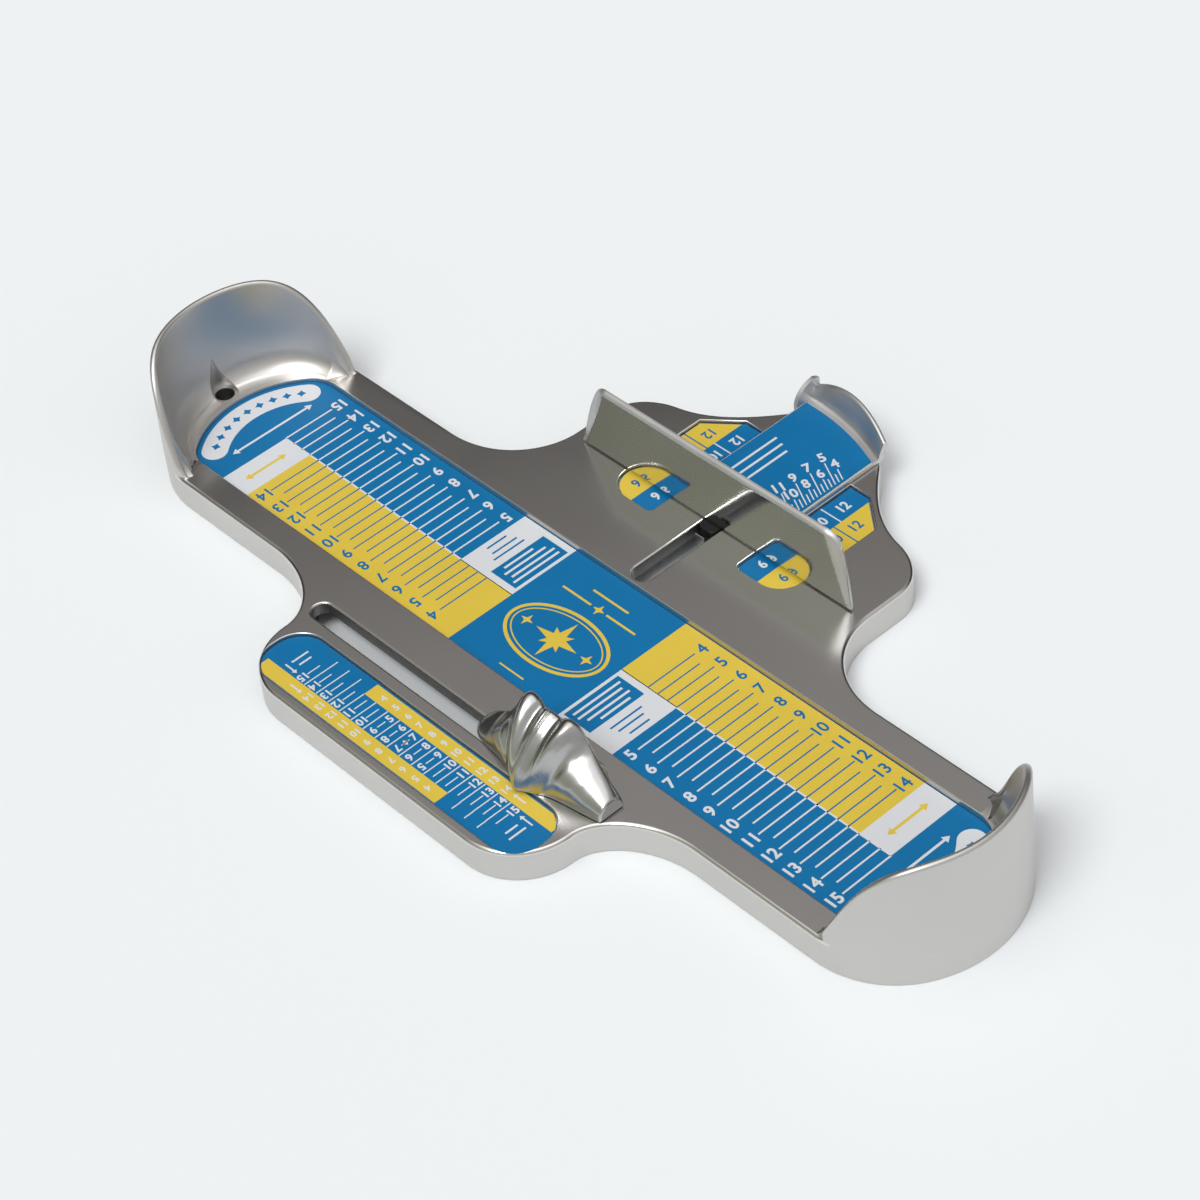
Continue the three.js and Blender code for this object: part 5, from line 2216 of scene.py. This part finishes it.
@dataclass
class FootPlate:
    """The long plate, whose two halves are the same print turned half round."""

    heel_line: float = -174.9
    pitch: float = 25.4 / 3
    men_shift: int = 22
    women_shift: int = 21
    half_width: float = 27.45
    block_end: float = 25.1
    women_end: float = 125.7
    scale_end: float = 138.4
    men_start: float = 49.5
    note_x: Point = (26.3, 38.0)
    note_y: Point = (-25.0, -2.5)
    line: float = 0.5
    white_line: float = 0.62
    whole: float = 20.0
    half: float = 18.0
    digit: float = 4.6
    digit_y: float = 23.0
    note_rules: Sequence[Triple] = ((28.7, -13.6, 19.4), (31.1, -14.4, 18.2), (33.6, -13.2, 17.4),
                                    (36.0, -12.6, 12.2))
    heading_rules: Sequence[Triple] = ((41.3, -13.2, 13.0), (43.9, -13.6, 10.4), (47.0, -13.0, 8.2))
    rule: Point = (0.9, 0.7)
    scale_arrow: tuple[float, ...] = (13.6, 17.0, 1.0, 3.2)
    end_arrow: tuple[float, ...] = (145.4, 34.0, 0.9, 3.0)
    capsule_star: Triple = (1.7, 0.95, 4.0)
    end_centre: float = 129.1
    capsule: Triple = (25.4, 34.4, 42.0)
    emblem_middle: Point = (0.5, -4.5)
    emblem_axes: Point = (20.5, 12.6)
    emblem_lines: Sequence[Point] = ((0.0, 1.2), (2.2, 0.45))
    emblem_stars: Sequence[tuple[float, ...]] = (
        (0, -4.5, 9.2, 2.4, 0, 1), (0, -4.5, 5.6, 2.1, 45, 2), (-13.6, -4.5, 2.6, 0.9, 0, 1),
        (13.6, -4.5, 2.6, 0.9, 0, 1), (0, 13.4, 2.4, 0.9, 0, 1))
    emblem_rules: Sequence[tuple[float, ...]] = (
        (-10.0, 13.4, 13.0, 0.8), (10.0, 13.4, 13.0, 0.8), (0, 18.6, 16.0, 0.8),
        (0, -23.2, 11.0, 0.6))

    def size_line(self, size: int, shift: int) -> float:
        """Returns where the line of a size lies."""
        return self.heel_line + self.pitch * (size + shift)

    def scales(self, press: Press, way: Way) -> None:
        """Prints the two scales of one half.

        Args:
            press: What prints the plate.
            way: How the print is laid.
        """
        edge = self.half_width
        press.area(rectangle((self.block_end, self.women_end), (0, edge)), Ink.YELLOW, 1, way)
        press.area(rectangle((self.women_end, self.scale_end), (0, edge)), Ink.WHITE, 1, way)
        press.area(rectangle((self.block_end, self.men_start), (-edge, self.white_line / 2)),
                   Ink.WHITE, 1, way)
        press.area(rectangle((self.men_start, self.scale_end),
                             (-self.white_line / 2, self.white_line / 2)), Ink.WHITE, 2, way)
        for first, shift, side, ink, width, last in (
            (5, self.men_shift, -1, Ink.WHITE, self.white_line, 15),
            (4, self.women_shift, 1, Ink.BLUE, self.line, 14),
        ):
            start = self.size_line(first, shift)
            for reach, offset, count in ((self.whole, 0.0, last - first + 1),
                                         (self.half, self.pitch / 2, last - first)):
                press.bars(Bars((start + offset, side * reach / 2), (width, reach), ink,
                                (self.pitch, 0.0), count), way)
            press.numbers([Number(str(size), (self.size_line(size, shift), side * self.digit_y),
                                  self.digit, ink) for size in range(first, last + 1)], way)

    def notes(self, press: Press, way: Way) -> None:
        """Prints the plain rules, arrows and capsule of one half.

        Args:
            press: What prints the plate.
            way: How the print is laid.
        """
        press.area(rectangle(self.note_x, self.note_y), Ink.BLUE, 2, way)
        for rules, wide, ink, level in ((self.note_rules, self.rule[0], Ink.WHITE, 3),
                                        (self.heading_rules, self.rule[1], Ink.BLUE, 2)):
            for place, start, length in rules:
                press.bars(Bars((place, start), (wide, length), ink), way, level)
        y, *sizes = self.scale_arrow
        press.area(arrow(((self.women_end + self.scale_end) / 2, y), *sizes), Ink.YELLOW, 2, way)
        x, *sizes = self.end_arrow
        press.area(arrow((x, 0.0), *sizes), Ink.WHITE, 1, way)
        inner, outer, spread = self.capsule
        centre, middle = (self.end_centre, 0.0), (inner + outer) / 2

        def around(angle: float) -> Point:
            """Returns a place on the capsule's middle line, at an angle in degrees."""
            return (centre[0] + middle * cos(radians(angle)),
                    middle * sin(radians(angle)))

        cap = (outer - inner) / 2
        outline = arc(centre, outer, -spread, spread, 40)
        outline += arc(around(spread), cap, spread, spread + 180, 12)[1:-1]
        outline += arc(centre, inner, spread, -spread, 40)
        outline += arc(around(-spread), cap, 180 - spread, 360 - spread, 12)[1:-1]
        press.area(outline, Ink.WHITE, 1, way)
        large, small, margin = self.capsule_star
        for angle in np.linspace(-spread + margin, spread - margin, 9):
            press.area(star(around(angle), large, small, angle), Ink.BLUE, 2, way)

    def emblem(self, press: Press) -> None:
        """Prints the plain compass star in its oval, with rules above and below.

        Args:
            press: What prints the plate.
        """
        x, y = self.emblem_middle
        long, short = self.emblem_axes
        oval = tidy_outline([(x + long * cos(a), y + short * sin(a))
                             for a in np.linspace(0, 2 * pi, 97)[:-1]])
        for inward, wall in self.emblem_lines:
            press.ring(inset(oval, inward), wall, Ink.YELLOW)
        for across, up, outer, inner, turn, level in self.emblem_stars:
            press.area(star((x + across, up), outer, inner, turn), Ink.YELLOW, level)
        for across, up, *size in self.emblem_rules:
            press.bars(Bars((x + across, up), tuple(size), Ink.YELLOW))

    def build(self, press: Press, base: BaseCasting) -> None:
        """Prints the plate and dresses it.

        Args:
            press: What prints the plate.
            base: The casting that carries it.
        """
        press.start("foot_length_plate", base.foot_outline(0))
        self.emblem(press)
        for half_turn in (False, True):
            way = Way(half_turn=half_turn)
            self.scales(press, way)
            self.notes(press, way)
        press.finish("base")


@dataclass
class ArchPlate:
    """The arch length plate, the same print from both ends."""

    about: Point = (0.6, -66.0)
    pitch: float = 5.645
    blue_five: float = -10.7
    yellow_four: float = -18.7
    yellow_x: Point = (-24.8, 60.3)
    yellow_y: Point = (-60.9, -55.5)
    first_line: float = -41.6
    line_pitch: float = 5.62
    line_count: int = 16
    line: float = 0.42
    line_y: Point = (-71.0, -61.0)
    digit: float = 3.2
    small_digit: float = 2.8
    yellow_digit_y: float = -58.2
    blue_digit_y: float = -62.7
    margin: float = 0.15
    arrows: Sequence[tuple[Point, float, float, float]] = (
        ((43.4, -58.2), 5.4, 0.55, 1.8), ((51.4, -62.8), 5.6, 0.55, 1.9))
    rules: Sequence[Point] = ((50.8, 4.8), (53.4, 6.6))
    rule: float = 0.7
    rule_y: float = -68.0
    ticks: Sequence[Point] = ((-67.2, 5.0), (-59.25, 3.5))

    def half(self, press: Press, base: BaseCasting, way: Way) -> None:
        """Prints what the plate shows from one end.

        Args:
            press: What prints the plate.
            base: The casting that carries it.
            way: How the print is laid.
        """
        outline = inset(base.arch_outline(0), self.margin)
        press.area(clipped(outline, way, self.yellow_x, self.yellow_y), Ink.YELLOW, 1)
        for first, start, y, digit in ((4, self.yellow_four, self.yellow_digit_y, self.small_digit),
                                       (5, self.blue_five, self.blue_digit_y, self.digit)):
            press.numbers([Number(str(first + k), (start + self.pitch * k, y), digit, Ink.WHITE)
                           for k in range(11)], way)
        starts = ((self.blue_five + 5 * self.pitch, self.pitch, 6),
                  (self.first_line, self.line_pitch, 3))
        for (x, pitch, count), (y, length) in zip(starts, self.ticks):
            press.bars(Bars((x, y), (self.line, length), Ink.WHITE, (pitch, 0.0), count), way)
        for sizes in self.arrows:
            press.area(arrow(*sizes, single=True), Ink.WHITE, 2, way)
        for x, length in self.rules:
            press.bars(Bars((x, self.rule_y), (self.rule, length), Ink.WHITE), way)

    def build(self, press: Press, base: BaseCasting) -> None:
        """Prints the plate and dresses it.

        Args:
            press: What prints the plate.
            base: The casting that carries it.
        """
        press.start("arch_length_plate", base.arch_outline(0))
        for half_turn in (False, True):
            self.half(press, base, Way(self.about, half_turn))
        middle = (self.line_y[0] + self.line_y[1]) / 2
        press.bars(Bars((self.first_line, middle), (self.line, self.line_y[1] - self.line_y[0]),
                        Ink.WHITE, (self.line_pitch, 0.0), self.line_count))
        press.bars(Bars((self.blue_five, middle), (self.line, 3.2), Ink.WHITE,
                        (self.pitch, 0.0), 5))
        press.area(star((self.about[0], middle), 1.3, 0.7, 0), Ink.WHITE, 2)
        press.finish("base")


@dataclass
class WidthPlates:
    """The two width plates, the far one turned half round."""

    boundary: float = 28.8
    blue_labels: tuple[float, ...] = (61.6, 74.7, 87.9, 98.1)
    yellow_labels: tuple[float, ...] = (61.6, 73.6, 85.2, 94.2)
    blue_lines: tuple[float, ...] = (68.2, 81.0, 92.3)
    yellow_lines: tuple[float, ...] = (67.4, 79.4, 89.0)
    label_texts: tuple[str, ...] = ("6", "8", "10", "12")
    digit: float = 4.0
    line: float = 0.5
    margin: float = 0.15
    digit_x: Point = (24.2, 33.4)

    def build(self, press: Press, base: BaseCasting) -> None:
        """Prints both plates and dresses them.

        Args:
            press: What prints the plate.
            base: The casting that carries it.
        """
        for side, node in ((1, "near_width_plate"), (-1, "far_width_plate")):
            press.start(node, base.width_outline(side, 0))
            outline = base.width_outline(side, -self.margin)
            turn = 90.0 if side == 1 else -90.0
            outer = base.width_plate[0] + base.width_plate_width
            band = (side * self.boundary, side * (outer + 1))
            press.area(clipped(outline, Way(), band, (50, 110)), Ink.YELLOW, 1)
            for ink, x, labels, lines, ends in (
                (Ink.WHITE, self.digit_x[0], self.blue_labels, self.blue_lines,
                 (base.width_plate[0] + self.margin, self.boundary)),
                (Ink.BLUE, self.digit_x[1], self.yellow_labels, self.yellow_lines,
                 (self.boundary, outer - self.margin)),
            ):
                press.numbers([Number(text, (side * x, y), self.digit, ink, turn)
                               for text, y in zip(self.label_texts, labels)])
                for y in lines:
                    press.bars(Bars((side * (ends[0] + ends[1]) / 2, y),
                                    (ends[1] - ends[0], self.line), ink))
            press.finish("base")


@dataclass
class SlideSheet:
    """The slide's own sheet, with slanted leaders from its numbers to its edge."""

    odd_x: float = 4.9
    even_x: float = 10.0
    edge_x: float = 17.4
    first_y: float = 104.9
    pitch: float = 3.28
    digit: float = 4.3
    to_digit: float = 2.7
    digit_turn: float = 70.0
    lean: float = 27.0
    tick: float = 0.42
    tick_length: float = 3.6
    rules: Sequence[Triple] = ((-13.0, 90.0, 31.0), (-9.4, 88.5, 32.0), (-5.8, 87.5, 31.0))
    rule: float = 0.9

    def slanted(self, size: float, x: float) -> Point:
        """Returns the place on the slanted line of a size, at a distance across the sheet."""
        slope = tan(radians(self.lean))
        return x, self.first_y - self.pitch * (size - 4) + (self.edge_x - x) * slope

    def leader(self, size: float, start: float) -> Bars:
        """Returns the slanted line of a size, from a place across the sheet to its edge.

        Args:
            size: The size.
            start: The place where it starts.

        Returns:
            The line.
        """
        length = (self.edge_x - start) / cos(radians(self.lean))
        return Bars(self.slanted(size, (start + self.edge_x) / 2), (length, self.tick), Ink.WHITE,
                    turn=-self.lean)

    def build(self, press: Press, bar: WidthBar) -> None:
        """Prints the sheet and dresses it.

        Args:
            press: What prints the plate.
            bar: The casting that carries it.
        """
        half = bar.half_width - bar.sheet_inset
        start = bar.face_y + bar.lean + bar.fence_wall + bar.sheet_to_fence
        press.start("slide_scale_sheet", bar.slide_outline(half, start, bar.sheet_to_grip))
        places = {size: self.odd_x if size % 2 else self.even_x for size in range(4, 15)}
        press.numbers([Number(str(size), self.slanted(size, x), self.digit, Ink.WHITE,
                              self.digit_turn) for size, x in places.items()])
        for size, x in places.items():
            press.bars(self.leader(size, x + self.to_digit))
            press.bars(self.leader(size + 0.5, self.edge_x - self.tick_length))
        for x, y, length in self.rules:
            press.bars(Bars((x, y), (self.rule, length), Ink.WHITE))
        press.finish("width_bar")


def coat_adhesive(frame: dict, finishes: Finishes) -> None:
    """Gives the carried-over nodes, which are the adhesive sheets, their finish.

    Args:
        frame: The frame with its nodes.
        finishes: The materials.
    """
    for name, node in frame["nodes"].items():
        if name.endswith("adhesive"):
            coat(node, finishes.film)


@dataclass(frozen=True)
class Sky:
    """Light from one side of the studio.

    Attributes:
        toward: Level direction to that side, or zero for all round.
        fade: Where it sets in and where it is full, as the cosine of the angle to that side.
        stops: Pairs of height, from 0 level to 1 overhead, and brightness.
        tint: Its colour.
    """

    toward: Triple
    fade: Point
    stops: Sequence[Point]
    tint: Triple


@dataclass
class Studio:
    """Floor, lamps, world and the camera at the photograph's angle."""

    floor_size: float = 8.0
    camera_place: Triple = (614.84, -474.39, 739.51)
    camera_target: Triple = (-2.53, 16.77, 9.4)
    camera_roll: float = -6.45
    lens: float = 103.41
    sensor: float = 36.0
    clip: Point = (0.05, 50.0)
    lamp_toward: Triple = (0.12, -0.52, 0.85)
    lamp_spread: float = 26.0
    lamp_strength: float = 1.34
    floor_colour: Triple = (0.86, 0.895, 0.92)
    # Painted shade on the floor: full colour up to the first distance in metres from the device,
    # darkening to the given share by the second.
    fall: Point = (0.5, 1.1)
    far_floor: float = 0.35
    skies: Sequence[Sky] = (
        Sky((0.0, 0.0, 0.0), (0.0, 1.0),
            ((0.0, 0.5), (0.3, 0.5), (0.55, 0.6), (0.82, 0.6), (0.93, 1.5), (1.0, 1.6)),
            (1.0, 0.99, 0.98)),
        Sky((-0.79, -0.61, 0.0), (0.25, 0.75),
            ((0.0, 0.5), (0.3, 0.42), (0.8, 0.42), (0.93, 1.5), (1.0, 1.6)), (0.94, 1.0, 0.76)),
        Sky((-0.78, 0.62, 0.0), (-0.2, 0.45),
            ((0.0, 0.12), (0.2, 0.06), (0.635, 0.045), (0.675, 0.285), (0.82, 0.33), (0.93, 1.4),
             (1.0, 1.6)), (1.02, 0.985, 0.96)),
    )

    def floor(self) -> None:
        """Lays the pale floor, with painted shade that darkens it away from the device."""
        half = self.floor_size / 2 / MILLIMETRE
        floor = mesh_object("floor", np.array([(-half, -half, 0), (half, -half, 0),
                                               (half, half, 0), (-half, half, 0)]), [(0, 1, 2, 3)])
        if floor.data.polygons[0].normal.z < 0:
            floor.data.flip_normals()
        paint = Paint("pale_floor")
        distance = paint.add("ShaderNodeVectorMath", operation="LENGTH")
        paint.tree.links.new(paint.place, distance.inputs[0])
        colour = paint.shades(paint.ease(distance.outputs["Value"], self.fall),
                              ((0.0, 1.0), (1.0, self.far_floor)), self.floor_colour)
        coat(floor, paint.finish(Base_Color=colour, Roughness=0.9, Specular_IOR_Level=0.1))

    def world(self) -> None:
        """Sets a studio world: dark low down on the far side, and softly grey elsewhere."""
        world = bpy.data.worlds.new("studio")
        bpy.context.scene.world = world
        world.use_nodes = True
        sheet = NodeSheet(world.node_tree)
        direction = sheet.add("ShaderNodeTexCoord").outputs["Generated"]
        height = sheet.add("ShaderNodeSeparateXYZ", {"Vector": direction}).outputs["Z"]
        colour = None
        for sky in self.skies:
            shades = sheet.shades(height, sky.stops, sky.tint, "EASE")
            if colour is None:
                colour = shades
                continue
            facing = sheet.add("ShaderNodeVectorMath", operation="DOT_PRODUCT")
            facing.inputs[1].default_value = sky.toward
            sheet.tree.links.new(direction, facing.inputs[0])
            share = sheet.ease(facing.outputs["Value"], sky.fade)
            colour = sheet.add("ShaderNodeMix", {"Factor": share, "A": colour, "B": shades},
                               data_type="RGBA").outputs["Result"]
        sheet.feed(sheet.tree.nodes["Background"], {"Color": colour, "Strength": 1.0})

    def lamp(self) -> None:
        """Adds a soft distant lamp."""
        data = bpy.data.lights.new("key_light", "SUN")
        data.angle = radians(self.lamp_spread)
        data.energy = self.lamp_strength
        obj = linked("key_light", data)
        obj.rotation_euler = (-Vector(self.lamp_toward)).to_track_quat("-Z", "Y").to_euler()

    def camera(self) -> None:
        """Adds the camera at the photograph's place."""
        data = bpy.data.cameras.new("camera")
        data.lens, data.sensor_width = self.lens, self.sensor
        data.clip_start, data.clip_end = self.clip
        obj = linked("camera", data)
        place, target = (Vector(PLACE.metres(np.array(point)))
                         for point in (self.camera_place, self.camera_target))
        turn = (target - place).to_track_quat("-Z", "Y")
        roll = Matrix.Rotation(radians(self.camera_roll), 4, "Z")
        obj.matrix_world = Matrix.Translation(place) @ turn.to_matrix().to_4x4() @ roll
        bpy.context.scene.camera = obj

    def build(self) -> None:
        """Sets up the whole studio."""
        self.floor()
        self.world()
        self.lamp()
        self.camera()


def main() -> None:
    """Builds the device in its studio."""
    logging.basicConfig(level=logging.INFO, format="%(name)s %(message)s")
    bpy.ops.wm.read_factory_settings(use_empty=True)
    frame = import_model()
    bpy.context.scene.view_settings.view_transform = "Standard"
    PLACE.read()
    Studio().build()
    finishes = Finishes()
    base, bar = BaseCasting(), WidthBar()
    pointer = ArchPointer()
    press = Press(finishes)
    width_guide = SliderGuide("width", "width_bar", (0.0, 74.0), base.width_slot[0], True, 11.05)
    arch_guide = SliderGuide("arch", "arch_pointer", pointer.middle, base.arch_slot[1])
    base.build(finishes)
    bar.build(finishes, width_guide)
    pointer.build(finishes, arch_guide)
    width_guide.build(finishes, press.rows)
    arch_guide.build(finishes, press.rows)
    FootPlate().build(press, base)
    ArchPlate().build(press, base)
    WidthPlates().build(press, base)
    SlideSheet().build(press, bar)
    coat_adhesive(frame, finishes)


if __name__ == "__main__":
    main()
